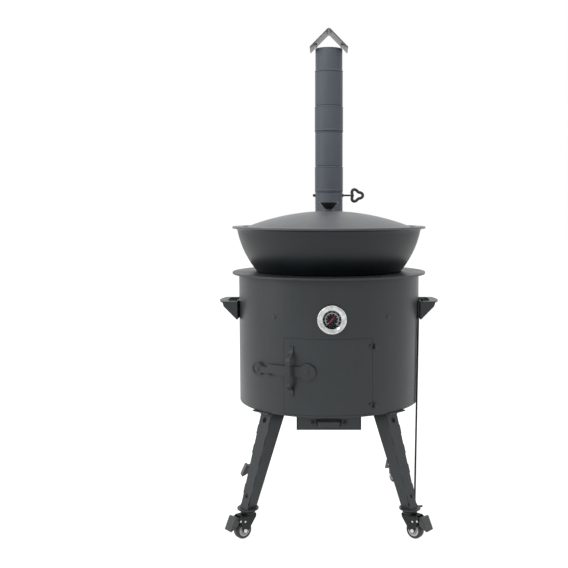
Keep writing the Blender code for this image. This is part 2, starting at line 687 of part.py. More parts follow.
def ash_box():
    """The drawer's housing under the floor, the drawer, its strap grip and two bolts."""
    half = HOUSING_WIDTH / 2
    middle = half - HOUSING_WALL / 2
    path = (
        (-half - HOUSING_FLANGE, HOUSING_TOP - HOUSING_WALL / 2),
        (-middle, HOUSING_TOP - HOUSING_WALL / 2), (-middle, HOUSING_BOTTOM + HOUSING_WALL / 2),
        (middle, HOUSING_BOTTOM + HOUSING_WALL / 2), (middle, HOUSING_TOP - HOUSING_WALL / 2),
        (half + HOUSING_FLANGE, HOUSING_TOP - HOUSING_WALL / 2),
    )
    front = -HOUSING_FRONT
    back = front + HOUSING_LENGTH
    channel = front_slab(ribbon(path, HOUSING_WALL), front, back)
    end = block((-middle, back - HOUSING_WALL, HOUSING_BOTTOM + HOUSING_WALL / 2),
                (middle, back - HOUSING_WALL / 2, HOUSING_TOP - HOUSING_WALL / 2))
    build("drawer_housing", fuse(channel, end), "heat_paint")

    drawer = empty("drawer_slide", (0, front, HOUSING_BOTTOM), stove)
    wide = half - HOUSING_WALL - DRAWER_SIDE_GAP
    low = HOUSING_WALL + GAP
    high = HOUSING_HEIGHT - DRAWER_TOP_GAP
    long = HOUSING_LENGTH - HOUSING_WALL - DRAWER_BACK_GAP
    tray = block((-wide, 0, low), (wide, long, high))
    hollow = block((-wide + DRAWER_WALL, DRAWER_FRONT_THICKNESS, low + DRAWER_WALL),
                   (wide - DRAWER_WALL, long - DRAWER_WALL, high + OVERRUN))
    grip_height = low + (high - low) * GRIP_RISE_SHARE
    bolt_holes = []
    for x in (-GRIP_SPAN / 2, GRIP_SPAN / 2):
        hole = pin(BOLT_RADIUS + GAP, -OVERRUN, OVERRUN)
        bolt_holes.append(moved(facing(hole, 0, grip_height), x=x))
    build("ash_drawer", cut(tray, hollow, joined(*bolt_holes)), "heat_paint", parent=drawer)

    strap = -GAP - GRIP_STRAP / 2
    crest = -GRIP_REACH - GRIP_STRAP / 2
    outline = ribbon((
        (-GRIP_SPAN / 2 - GRIP_FOOT, strap), (-GRIP_SPAN / 2 + GRIP_FOOT, strap),
        (-GRIP_WIDTH / 2, crest), (GRIP_WIDTH / 2, crest),
        (GRIP_SPAN / 2 - GRIP_FOOT, strap), (GRIP_SPAN / 2 + GRIP_FOOT, strap),
    ), GRIP_STRAP)
    grip = moved(slab(outline, GRIP_HEIGHT), z=grip_height - GRIP_HEIGHT / 2)
    bores = []
    for x in (-GRIP_SPAN / 2, GRIP_SPAN / 2):
        bore = pin(BOLT_RADIUS + GAP, -OVERRUN, OVERRUN)
        bores.append(moved(facing(bore, 0, grip_height), x=x))
    build("drawer_grip", cut(grip, joined(*bores)), "heat_paint", parent=drawer)

    seat = GAP + GRIP_STRAP + GAP
    tail = DRAWER_FRONT_THICKNESS + GAP
    profile = [
        (0, -tail - BOLT_HEAD_HEIGHT), (BOLT_HEAD_RADIUS, -tail - BOLT_HEAD_HEIGHT),
        (BOLT_HEAD_RADIUS, -tail), (BOLT_RADIUS, -tail), (BOLT_RADIUS, seat),
        (BOLT_HEAD_RADIUS, seat), (BOLT_HEAD_RADIUS * 0.85, seat + BOLT_HEAD_HEIGHT * 0.8),
        (BOLT_HEAD_RADIUS * 0.4, seat + BOLT_HEAD_HEIGHT), (0, seat + BOLT_HEAD_HEIGHT),
    ]
    mesh = mesh_from("drawer_bolt", facing(turned(profile, SMALL_SIDES), 0, 0))
    for side, x in (("left", -GRIP_SPAN / 2), ("right", GRIP_SPAN / 2)):
        bolt = add_piece(f"drawer_bolt_{side}", mesh, "black_steel", parent=drawer)
        bolt.location = (x, 0, grip_height)


def door():
    """The curved door panel with its pull; the hinge halves are fixed to it and to the drum."""
    pivot = (0, -HINGE_OUT, 0)
    swing = empty("door_hinge_axis", Matrix.Rotation(HINGE_TURN, 4, "Z") @ Vector(pivot), stove)
    kerf_angle = DOOR_KERF / DRUM_RADIUS
    panel = sector(DRUM_INSIDE, DRUM_RADIUS, DOOR_BOTTOM + DOOR_KERF, DOOR_TOP - DOOR_KERF,
                   DOOR_LEFT + kerf_angle, DOOR_RIGHT - kerf_angle, DOOR_STEPS)
    hole = pin(LATCH_PIVOT_RADIUS + GAP, DRUM_INSIDE - OVERRUN, DRUM_RADIUS + OVERRUN)
    panel = cut(panel, tilted(facing(hole, 0, LATCH_HEIGHT), "Z", LATCH_TURN))
    hang("door_panel", panel, "heat_paint", swing)

    hinges = {"upper": DOOR_TOP - HINGE_INSET_UPPER, "lower": DOOR_BOTTOM + HINGE_INSET_LOWER}
    leaf_in = -HINGE_OUT + HINGE_STANDOFF - GAP
    leaf_out = leaf_in - HINGE_LEAF_THICKNESS
    for name, height in hinges.items():
        low = height - HINGE_BARREL_LENGTH
        high = height + HINGE_BARREL_LENGTH
        barrel = turned((
            (0, low), (HINGE_BARREL_RADIUS, low), (HINGE_BARREL_RADIUS, height - GAP),
            (HINGE_PIN_RADIUS, height - GAP), (HINGE_PIN_RADIUS, high - GAP), (0, high - GAP),
        ), SMALL_SIDES)
        leaf = block((0, leaf_out, low), (HINGE_LEAF_LENGTH, leaf_in, height - GAP))
        fixed = fuse(moved(barrel, y=-HINGE_OUT), leaf)
        build(f"hinge_pin_{name}", fixed, "black_steel", pivot, HINGE_TURN)

        sleeve = turned((
            (HINGE_PIN_RADIUS + GAP, height), (HINGE_BARREL_RADIUS, height),
            (HINGE_BARREL_RADIUS, high), (HINGE_PIN_RADIUS + GAP, high),
        ), SMALL_SIDES, ring=True)
        leaf = block((-HINGE_SLEEVE_LEAF_LENGTH, leaf_out, height), (0, leaf_in, high))
        sleeve = fuse(moved(sleeve, y=-HINGE_OUT), leaf)
        hang(f"hinge_sleeve_{name}", tilted(sleeve, "Z", HINGE_TURN), "black_steel", swing)

    half = PULL_HEIGHT / 2
    foot = DRUM_RADIUS + GAP + PULL_STRAP / 2
    bow = DRUM_RADIUS + PULL_STANDOFF + PULL_STRAP / 2
    path = ((-foot, -half), (-foot, -half + PULL_FOOT), (-bow, -half + 2 * PULL_FOOT),
            (-bow, half - 2 * PULL_FOOT), (-foot, half - PULL_FOOT), (-foot, half))
    strap = moved(side_slab(ribbon(path, PULL_STRAP), PULL_WIDTH / 2), z=DRUM_FOOT + PULL_RISE)
    hang("door_pull", tilted(strap, "Z", PULL_TURN), "heat_paint", swing)
    return swing


def hang(name, bm, material, holder):
    """A piece drawn in the drum's frame and carried by an empty."""
    return build(name, moved(bm, *(-holder.location)), material, parent=holder)


def latch_edges(run):
    """The latch bar's lower and upper edge at a run along it, from the pivot to the ring."""
    spans = []
    if 0 <= run <= LATCH_REACH * LATCH_BAR_SHARE:
        spans.append((-LATCH_BAR_HALF, LATCH_BAR_HALF))
    if LATCH_REACH * LATCH_BAR_SHARE < run <= LATCH_REACH:
        spans.append((-LATCH_RING_DROP - LATCH_NECK_HALF, -LATCH_RING_DROP + LATCH_NECK_HALF))
    if abs(run) < LATCH_DISC_RADIUS:
        power = LATCH_BLADE_POWER
        left = 1 - (abs(run) / LATCH_DISC_RADIUS) ** power
        disc = LATCH_DISC_RADIUS * left ** (1 / power)
        spans.append((-disc, disc))
    if abs(run - LATCH_REACH) < LATCH_RING_RADIUS:
        ring = math.sqrt(LATCH_RING_RADIUS ** 2 - (run - LATCH_REACH) ** 2)
        spans.append((-LATCH_RING_DROP - ring, -LATCH_RING_DROP + ring))
    return min(span[0] for span in spans), max(span[1] for span in spans)


def latch(swing):
    """The bar that drops into the keeper, its pivot rivet on the door, and the keeper."""
    disc_runs = [LATCH_DISC_RADIUS * share for share in LATCH_BLADE_SHARES]
    ring_runs = [LATCH_REACH - LATCH_RING_RADIUS * math.cos(math.radians(a))
                 for a in range(45, 180, 15)]
    bar_end = LATCH_REACH * LATCH_BAR_SHARE
    bar_runs = [LATCH_DISC_RADIUS + (bar_end - LATCH_DISC_RADIUS) * i / LATCH_BAR_STEPS
                for i in range(LATCH_BAR_STEPS + 1)]
    bar_runs.append(bar_end + LATCH_BAR_HALF - LATCH_NECK_HALF)
    middle = LATCH_INSIDE + LATCH_THICKNESS / 2
    bend_end = (LATCH_TURN - KEEPER_TURN) * middle
    rings = []
    for run in disc_runs + bar_runs + ring_runs:
        low, high = latch_edges(run)
        turn = min(run, bend_end) / middle
        aim = Vector((-math.sin(turn), -math.cos(turn), 0))
        past = Vector((-math.cos(turn), math.sin(turn), 0)) * max(run - bend_end, 0)
        corners = ((LATCH_INSIDE, low), (LATCH_INSIDE + LATCH_THICKNESS, low),
                   (LATCH_INSIDE + LATCH_THICKNESS, high), (LATCH_INSIDE, high))
        rings.append([aim * out + past + Vector((0, 0, LATCH_HEIGHT + rise))
                      for out, rise in corners])
    reach_in = LATCH_INSIDE - OVERRUN
    reach_out = LATCH_INSIDE + LATCH_THICKNESS + OVERRUN
    ring_hole = facing(pin(LATCH_RING_HOLE, reach_in, reach_out), 0,
                       LATCH_HEIGHT - LATCH_RING_DROP)
    ring_hole = moved(ring_hole, x=bend_end - LATCH_REACH)
    ring_hole = tilted(ring_hole, "Z", -bend_end / middle)
    pivot_hole = facing(pin(LATCH_PIVOT_RADIUS + GAP, reach_in, reach_out), 0, LATCH_HEIGHT)
    bar = tilted(cut(loft(rings), joined(ring_hole, pivot_hole)), "Z", LATCH_TURN)
    aim = Matrix.Rotation(LATCH_TURN, 4, "Z")
    axis = empty("latch_axis", aim @ Vector((0, -LATCH_INSIDE, LATCH_HEIGHT)) - swing.location,
                 swing)
    place = axis.location + swing.location
    build("latch_bar", moved(bar, *(-place)), "heat_paint", parent=axis)

    head_in = LATCH_INSIDE + LATCH_THICKNESS + GAP
    tail = WALL_FACE
    collar_in = DRUM_RADIUS + GAP
    collar_out = LATCH_INSIDE - GAP
    profile = [
        (0, tail - LATCH_PIVOT_HEAD_HEIGHT), (LATCH_PIVOT_HEAD, tail - LATCH_PIVOT_HEAD_HEIGHT),
        (LATCH_PIVOT_HEAD, tail), (LATCH_PIVOT_RADIUS, tail), (LATCH_PIVOT_RADIUS, collar_in),
        (LATCH_PIVOT_HEAD, collar_in), (LATCH_PIVOT_HEAD, collar_out),
        (LATCH_PIVOT_RADIUS, collar_out), (LATCH_PIVOT_RADIUS, head_in),
        (LATCH_PIVOT_HEAD, head_in), (LATCH_PIVOT_HEAD * 0.7, head_in + LATCH_PIVOT_HEAD_HEIGHT),
        (0, head_in + LATCH_PIVOT_HEAD_HEIGHT),
    ]
    rivet = facing(turned(profile, SMALL_SIDES), 0, LATCH_HEIGHT)
    hang("latch_rivet", tilted(rivet, "Z", LATCH_TURN), "heat_paint", swing)

    plate_in = DRUM_RADIUS + GAP
    shelf_top = LATCH_HEIGHT - LATCH_BAR_HALF - GAP
    corner = -plate_in - KEEPER_SHEET / 2
    shelf = shelf_top - KEEPER_SHEET / 2
    path = ((corner, LATCH_HEIGHT + LATCH_BAR_HALF), (corner, shelf),
            (corner - KEEPER_SHELF_REACH, shelf))
    keeper = side_slab(ribbon(path, KEEPER_SHEET), KEEPER_WIDTH / 2)
    build("latch_keeper", keeper, "heat_paint", turn=KEEPER_TURN)


def handles():
    """Two folded carrying handles, the same piece turned half round."""
    inner = HANDLE_INSIDE
    under = HANDLE_TOP - HANDLE_SHEET
    foot = HANDLE_TOP - HANDLE_DEPTH
    reach = inner + HANDLE_REACH
    corner = inner + HANDLE_CORNER_REACH
    bulge = HANDLE_REACH - HANDLE_CORNER_REACH
    steps = 8
    edge = []
    for i in range(steps + 1):
        y = HANDLE_HALF_LENGTH * (2 * i / steps - 1)
        edge.append((reach - bulge * (y / HANDLE_HALF_LENGTH) ** 2, y))
    outline = [(inner, -HANDLE_HALF_LENGTH)] + edge + [(inner, HANDLE_HALF_LENGTH)]
    solid = moved(slab(outline, HANDLE_DEPTH), z=foot)

    past = reach + OVERRUN
    slope_out = inner + GUSSET_REACH
    lip = HANDLE_TOP - GUSSET_LIP
    below = foot - OVERRUN
    side = ((inner + HANDLE_SHEET, below), (inner + HANDLE_SHEET, foot), (slope_out, lip),
            (corner - HANDLE_SHEET, under), (past, under), (past, below))
    under_slope = front_slab(side, -HANDLE_HALF_LENGTH - OVERRUN, HANDLE_HALF_LENGTH + OVERRUN)
    bay = HANDLE_HALF_LENGTH - HANDLE_SHEET
    between = block((inner + HANDLE_SHEET, -bay, below), (past, bay, under))
    near = inner + HANDLE_SHEET
    far = inner + HAND_HOLE_REACH
    half = HAND_HOLE_HALF_LENGTH
    trim = HAND_HOLE_CHAMFER
    hole = ((near, -half), (far - trim, -half), (far, -half + trim), (far, half - trim),
            (far - trim, half), (near, half))
    hand_hole = moved(slab(hole, HANDLE_SHEET + 2 * OVERRUN), z=under - OVERRUN)
    mesh = mesh_from("handle", cut(solid, under_slope, between, hand_hole))
    add_piece("handle_right", mesh, "heat_paint")
    add_piece("handle_left", mesh, "heat_paint", turn=math.pi)


def thermometer():
    """A dial gauge: case with bezel and probe, dial, needle, glass, and the nut inside."""
    back = GAUGE_INSIDE
    chamber = back + GAUGE_BACK
    front = back + GAUGE_DEPTH
    lip = front - GAUGE_LIP
    probe = DRUM_RADIUS - GAUGE_STEM_LENGTH
    slope = GAUGE_LIP / 2
    case = turned((
        (0, probe), (GAUGE_STEM_RADIUS, probe), (GAUGE_STEM_RADIUS, back), (GAUGE_RADIUS, back),
        (GAUGE_RADIUS, lip), (GAUGE_RADIUS - 2 * slope, front),
        (GAUGE_WINDOW_RADIUS + 2 * slope, front - slope), (GAUGE_WINDOW_RADIUS, lip - slope),
        (GAUGE_CHAMBER_RADIUS, lip - slope), (GAUGE_CHAMBER_RADIUS, chamber), (0, chamber),
    ), GAUGE_SIDES)
    axis = Matrix.Rotation(GAUGE_TURN, 4, "Z") @ Vector((0, -back, GAUGE_HEIGHT))
    needle_axis = empty("needle_axis", axis, stove)

    def seat(name, bm, material):
        """A gauge piece drawn along the gauge's axis, from the drum's axis outwards."""
        return build(name, facing(bm, 0, GAUGE_HEIGHT), material, turn=GAUGE_TURN)

    seat("thermometer_case", case, "stainless")
    inner = GAUGE_CHAMBER_RADIUS - GAP
    dial_low = chamber + GAP
    dial_high = dial_low + GAUGE_DIAL_THICKNESS
    seat("thermometer_dial", pin(inner, dial_low, dial_high, GAUGE_SIDES), "dial_black")
    glass_high = lip - slope - GAP
    glass = pin(inner, glass_high - GAUGE_GLASS_THICKNESS, glass_high, GAUGE_SIDES)
    seat("thermometer_glass", glass, "clear_glass")
    nut_out = WALL_FACE
    nut = pin(GAUGE_NUT_RADIUS, nut_out - GAUGE_NUT_HEIGHT, nut_out, GAUGE_NUT_SIDES)
    nut = cut(nut, pin(GAUGE_STEM_RADIUS + GAP, probe, back))
    seat("thermometer_nut", nut, "zinc")

    half = NEEDLE_HALF_WIDTH
    hub = arc((0, 0), NEEDLE_HUB_RADIUS, math.radians(-60), math.radians(60), 4)
    tail_hub = [(-x, y) for x, y in reversed(hub)]
    outline = [(-half * 0.8, -NEEDLE_TAIL), (half * 0.8, -NEEDLE_TAIL)] + hub
    outline += [(half * 0.4, NEEDLE_LENGTH), (-half * 0.4, NEEDLE_LENGTH)] + tail_hub
    blade = tilted(slab(outline, NEEDLE_THICKNESS), "Z", NEEDLE_TURN)
    blade = facing(blade, dial_high - back + GAP, 0)
    build("thermometer_needle", tilted(blade, "Z", GAUGE_TURN), "needle_red",
          parent=needle_axis)


def cauldron():
    """The cast bowl with a flat rim, its domed lid seated inside the rim, and the lid's knob."""
    lift = empty("cauldron_lift", (0, 0, RING_TOP), stove)
    centre = (0, BOWL_CENTRE)
    rim_low = RIM_TOP - RIM_THICKNESS
    neck = rim_low - RIM_FILLET
    neck_angle = -math.asin((BOWL_CENTRE - neck) / BOWL_RADIUS)
    seated = -math.asin((BOWL_CENTRE - RING_TOP) / (BOWL_RADIUS + GAP))
    outer = arc(centre, BOWL_RADIUS, -math.pi / 2, seated, BOWL_FOOT_STEPS)
    outer += arc(centre, BOWL_RADIUS, seated, neck_angle, BOWL_SHOULDER_STEPS)[1:]
    neck_out = outer[-1][0]
    lip = [
        (neck_out + RIM_FILLET, rim_low), (RIM_RADIUS, rim_low),
        (RIM_RADIUS, RIM_TOP - RIM_THICKNESS / 4),
        (RIM_RADIUS - RIM_THICKNESS / 4, RIM_TOP), (SEAT_RADIUS, RIM_TOP),
        (SEAT_RADIUS, SEAT_HEIGHT), (SEAT_RADIUS - SEAT_WIDTH, SEAT_HEIGHT),
        (SEAT_RADIUS - SEAT_WIDTH, SEAT_HEIGHT - SEAT_THICKNESS / 2),
    ]
    inside = BOWL_RADIUS - BOWL_WALL
    start = -math.asin((BOWL_CENTRE - SEAT_HEIGHT + 2 * SEAT_THICKNESS) / inside)
    inner = arc(centre, inside, start, -math.pi / 2, BOWL_INSIDE_STEPS)
    outer[0] = (0, outer[0][1])
    inner[-1] = (0, inner[-1][1])
    hang("cauldron", turned(outer + lip + inner, DRUM_SIDES), "iron_paint", lift)

    raised = empty("lid_lift", (0, 0, LID_BOTTOM - RING_TOP), lift)
    dome = (0, LID_DOME_CENTRE)
    edge_angle = math.acos(LID_RADIUS / LID_DOME_RADIUS)
    top = arc(dome, LID_DOME_RADIUS, math.pi / 2, edge_angle, LID_STEPS)
    hollow = LID_DOME_RADIUS - LID_WALL
    foot_in = SEAT_RADIUS - SEAT_WIDTH
    under_angle = math.acos((foot_in - LID_WALL / 2) / hollow)
    under = arc(dome, hollow, under_angle, math.pi / 2, LID_STEPS - 1)
    top[0] = (0, top[0][1])
    under[-1] = (0, under[-1][1])
    profile = top + [(LID_RADIUS, LID_BOTTOM), (foot_in, LID_BOTTOM)] + under
    build("lid", moved(turned(profile, DRUM_SIDES), z=-LID_BOTTOM), "lid_paint", parent=raised)

    foot = LID_TOP + GAP
    top = foot + KNOB_HEIGHT
    knob = turned((
        (0, foot), (KNOB_NECK_RADIUS, foot), (KNOB_NECK_RADIUS, foot + KNOB_BOSS_HEIGHT),
        (KNOB_TOP_RADIUS, top - KNOB_EDGE), (KNOB_TOP_RADIUS, top - KNOB_EDGE / 2),
        (KNOB_TOP_RADIUS - KNOB_EDGE / 2, top - KNOB_CROWN), (0, top),
    ), PIPE_SIDES)
    build("lid_knob", moved(knob, z=-LID_BOTTOM), "black_knob", parent=raised)


def pipe_section(foot):
    """One flue pipe: a bell at the foot, the body, and a spigot that the next bell covers."""
    body = foot + BELL_LENGTH
    shoulder = body + BODY_LENGTH
    end = shoulder + SPIGOT_LENGTH
    wall = PIPE_WALL
    return turned((
        (BELL_RADIUS, foot), (BELL_RADIUS, body - SHOULDER), (PIPE_RADIUS, body),
        (PIPE_RADIUS, shoulder), (SPIGOT_RADIUS, shoulder), (SPIGOT_RADIUS, end),
        (SPIGOT_RADIUS - wall, end), (SPIGOT_RADIUS - wall, body),
        (BELL_RADIUS - wall, body - SHOULDER), (BELL_RADIUS - wall, foot),
    ), PIPE_SIDES, ring=True)


def flue():
    """The smoke box on the drum's back, open to the drum, with the stub that holds the chimney."""
    half = FLUE_WIDTH / 2
    box = block((-half, DRUM_INSIDE - OVERRUN, FLUE_BOTTOM), (half, FLUE_BACK, FLUE_TOP))
    stub_end = STUB_SHOULDER + SPIGOT_LENGTH
    stub = turned((
        (0, FLUE_TOP - FLUE_WALL / 2), (PIPE_RADIUS, FLUE_TOP - FLUE_WALL / 2),
        (PIPE_RADIUS, STUB_SHOULDER), (SPIGOT_RADIUS, STUB_SHOULDER),
        (SPIGOT_RADIUS, stub_end), (0, stub_end),
    ), PIPE_SIDES)
    wall = FLUE_WALL
    hollow = block((-half + wall, DRUM_INSIDE - 2 * OVERRUN, FLUE_BOTTOM + wall),
                   (half - wall, FLUE_BACK - wall, FLUE_TOP - wall))
    bore = moved(pin(SPIGOT_RADIUS - PIPE_WALL, FLUE_TOP - 2 * wall, stub_end + OVERRUN,
                     PIPE_SIDES), y=CHIMNEY_BACK)
    drum_space = pin(DRUM_RADIUS + GAP, DRUM_FOOT, DRUM_TOP, DRUM_SIDES)
    solid = fuse(box, moved(stub, y=CHIMNEY_BACK))
    build("flue_box", cut(solid, drum_space, hollow, bore), "heat_paint")


def chimney():
    """Three stacked pipes; the lowest holds the damper's rod."""
    lift = empty("chimney_lift", (0, CHIMNEY_BACK, CHIMNEY_FOOT), stove)
    for i, name in enumerate(SECTION_NAMES):
        pipe = pipe_section(i * SECTION_PITCH)
        if i == 0:
            reach = BELL_RADIUS + OVERRUN
            rod_hole = pin(DAMPER_ROD_RADIUS + GAP, -reach, reach)
            pipe = cut(pipe, moved(across(rod_hole), z=DAMPER_HEIGHT - CHIMNEY_FOOT))
        build(name, pipe, "pipe_paint", parent=lift)
    return lift


def rain_cap(lift):
    """A bent roof over the pipe's end, on two tabs that stand inside the pipe."""
    foot = CAP_FOOT - CHIMNEY_FOOT
    half = CAP_HALF_WIDTH
    crest = foot + half - CAP_CREST / 2
    path = ((-half, foot), (-CAP_CREST, crest - CAP_CREST / 2), (0, crest),
            (CAP_CREST, crest - CAP_CREST / 2), (half, foot))
    sheet = front_slab(ribbon(path, CAP_SHEET), -CAP_LENGTH / 2, CAP_LENGTH / 2)
    out = SPIGOT_RADIUS - PIPE_WALL - CAP_TAB_INSET
    tab_top = foot + half - out + CAP_TAB_SHEET / 2
    tab_foot = CHIMNEY_TOP - CHIMNEY_FOOT - CAP_TAB_DEPTH
    tabs = []
    for side in (-1, 1):
        xs = sorted((side * out, side * (out - CAP_TAB_SHEET)))
        tabs.append(block((xs[0], -CAP_TAB_WIDTH / 2, tab_foot),
                          (xs[1], CAP_TAB_WIDTH / 2, tab_top)))
    build("rain_cap", fuse(sheet, *tabs), "pipe_paint", parent=lift)


def key_loop():
    """The damper key's flat three-lobed loop, square to Y, centred on the origin."""
    bm = bmesh.new()
    rims = []
    for inset, wave in ((0, KEY_LOBE), (KEY_BAND, KEY_LOBE * 0.75)):
        rim = []
        for i in range(KEY_SIDES):
            angle = math.tau * i / KEY_SIDES
            out = KEY_MEAN_RADIUS - inset + wave * math.cos(KEY_LOBES * angle)
            rim.append(bm.verts.new((out * math.cos(angle), 0, out * math.sin(angle))))
        rims.append(rim)
    outer, inner = rims
    faces = []
    for i in range(KEY_SIDES):
        j = (i + 1) % KEY_SIDES
        faces.append(bm.faces.new((outer[i], outer[j], inner[j], inner[i])))
    drawn = bmesh.ops.extrude_face_region(bm, geom=faces)
    backs = [item for item in drawn["geom"] if isinstance(item, bmesh.types.BMVert)]
    bmesh.ops.translate(bm, vec=(0, KEY_THICKNESS, 0), verts=backs)
    bmesh.ops.translate(bm, vec=(0, -KEY_THICKNESS / 2, 0), verts=bm.verts)
    bmesh.ops.recalc_face_normals(bm, faces=bm.faces)
    return bm


def damper(lift):
    """The throttle plate on its rod, the rod's three-lobed key, and the nut at its far end."""
    axis = empty("damper_axis", (0, 0, DAMPER_HEIGHT - CHIMNEY_FOOT), lift)
    wall = PIPE_RADIUS + GAP
    collar = wall + DAMPER_COLLAR_THICKNESS
    nut_in = wall + GAP
    nut_out = nut_in + DAMPER_COLLAR_THICKNESS / 2 + DAMPER_NUT_HEIGHT
    loop_in = PIPE_RADIUS + DAMPER_ROD_OUT - KEY_BAND
    rod = turned((
        (0, -nut_out - GAP), (DAMPER_ROD_RADIUS, -nut_out - GAP), (DAMPER_ROD_RADIUS, wall),
        (DAMPER_COLLAR_RADIUS, wall), (DAMPER_COLLAR_RADIUS, collar),
        (DAMPER_ROD_RADIUS, collar), (DAMPER_ROD_RADIUS, loop_in + KEY_BAND / 2),
        (0, loop_in + KEY_BAND / 2),
    ), SMALL_SIDES)
    loop = moved(key_loop(), x=loop_in + KEY_MEAN_RADIUS - KEY_LOBE)
    build("damper_key", fuse(across(rod), loop), "black_steel", parent=axis)

    bore = DAMPER_ROD_RADIUS + GAP
    nut = turned((
        (bore, nut_in), (DAMPER_COLLAR_RADIUS, nut_in),
        (DAMPER_COLLAR_RADIUS, nut_in + DAMPER_COLLAR_THICKNESS / 2),
        (DAMPER_NUT_RADIUS, nut_in + DAMPER_COLLAR_THICKNESS / 2),
        (DAMPER_NUT_RADIUS, nut_out), (bore, nut_out),
    ), SMALL_SIDES, ring=True)
    build("damper_nut", tilted(nut, "Y", -math.pi / 2), "black_steel", parent=axis)

    radius = SPIGOT_RADIUS - PIPE_WALL - DAMPER_PLATE_GAP
    near = DAMPER_ROD_RADIUS + GAP
    plate = pin(radius, near, near + DAMPER_PLATE_THICKNESS, PIPE_SIDES)
    build("damper_plate", tilted(plate, "X", -math.pi / 2), "black_steel", parent=axis)


def leg_rings():
    """The channel's section at the foot plate and at the bracket, outer face towards -Y."""
    rings = []
    sizes = (
        (LEG_FACE_OUT_FOOT, LEG_WIDTH_FOOT, LEG_DEPTH_FOOT, FOOT_PLATE_TOP - FOOT_PLATE_THICKNESS / 2),
        (LEG_FACE_OUT_TOP, LEG_WIDTH_TOP, LEG_DEPTH_TOP, LEG_TOP + LEG_BRACKET_THICKNESS / 2),
    )
    for out, width, depth, height in sizes:
        half = width / 2
        thin = half - LEG_WALL
        section = (
            (-half, -out), (half, -out), (half, -out + depth), (thin, -out + depth),
            (thin, -out + LEG_WALL), (-thin, -out + LEG_WALL), (-thin, -out + depth),
            (-half, -out + depth),
        )
        rings.append([Vector((x, y, height)) for x, y in section])
    return rings


def fold_slots(rings):
    """The dashed slots along both folds of a leg, as one cutter."""
    slots = []
    for corner, side in ((0, -1), (1, 1)):
        foot, top = rings[0][corner], rings[1][corner]
        along = (foot - top).normalized()
        inward = Vector((-side, 1, 0)).normalized()
        thick = inward.cross(along).normalized()
        inward = along.cross(thick)
        for i in range(FOLD_SLOT_COUNT):
            share = FOLD_SLOT_FIRST_SHARE + FOLD_SLOT_PITCH_SHARE * i
            middle = top.lerp(foot, share)
            half = Vector((FOLD_SLOT_WIDTH / 2, 2 * LEG_WALL, FOLD_SLOT_LENGTH / 2))
            slot = block(-half, half)
            frame = Matrix((thick, inward, along)).transposed()
            bmesh.ops.rotate(slot, cent=(0, 0, 0), matrix=frame, verts=slot.verts)
            bmesh.ops.recalc_face_normals(slot, faces=slot.faces)
            slots.append(moved(slot, *middle))
    return joined(*slots)


def legs():
    """Four folded legs, each welded to a bracket plate above and a round foot plate below."""
    rings = leg_rings()
    bracket_out = DRUM_RADIUS + LEG_BRACKET_OVERHANG
    half = LEG_BRACKET_WIDTH / 2
    bracket = block((-half, -bracket_out, LEG_TOP),
                    (half, -bracket_out + LEG_BRACKET_LENGTH, LEG_TOP + LEG_BRACKET_THICKNESS))
    foot = moved(pin(FOOT_PLATE_RADIUS, FOOT_PLATE_BOTTOM, FOOT_PLATE_TOP, FOOT_PLATE_SIDES),
                 y=-STEM_OUT)
    stem_hole = pin(STEM_RADIUS + RUNNING_GAP, FOOT_PLATE_BOTTOM - OVERRUN,
                    FOOT_PLATE_TOP + OVERRUN)
    holes = []
    for radius, height in (
        (UPPER_HOLE_RADIUS, DRUM_FOOT - UPPER_HOLE_DOWN),
        (LOWER_HOLE_RADIUS, FOOT_PLATE_TOP + LOWER_HOLE_UP),
    ):
        share = (LEG_TOP - height) / LEG_HEIGHT
        face = LEG_FACE_OUT_TOP + (LEG_FACE_OUT_FOOT - LEG_FACE_OUT_TOP) * share
        hole = pin(radius, face - LEG_WALL - OVERRUN, face + OVERRUN)
        holes.append(facing(hole, 0, height))
    solid = cut(loft(rings), fold_slots(rings))
    solid = fuse(solid, bracket, foot)
    solid = cut(solid, moved(stem_hole, y=-STEM_OUT), joined(*holes))
    mesh = mesh_from("leg", solid)
    for name, turn in LEG_TURNS.items():
        add_piece(f"leg_{name}", mesh, "heat_paint", turn=turn)


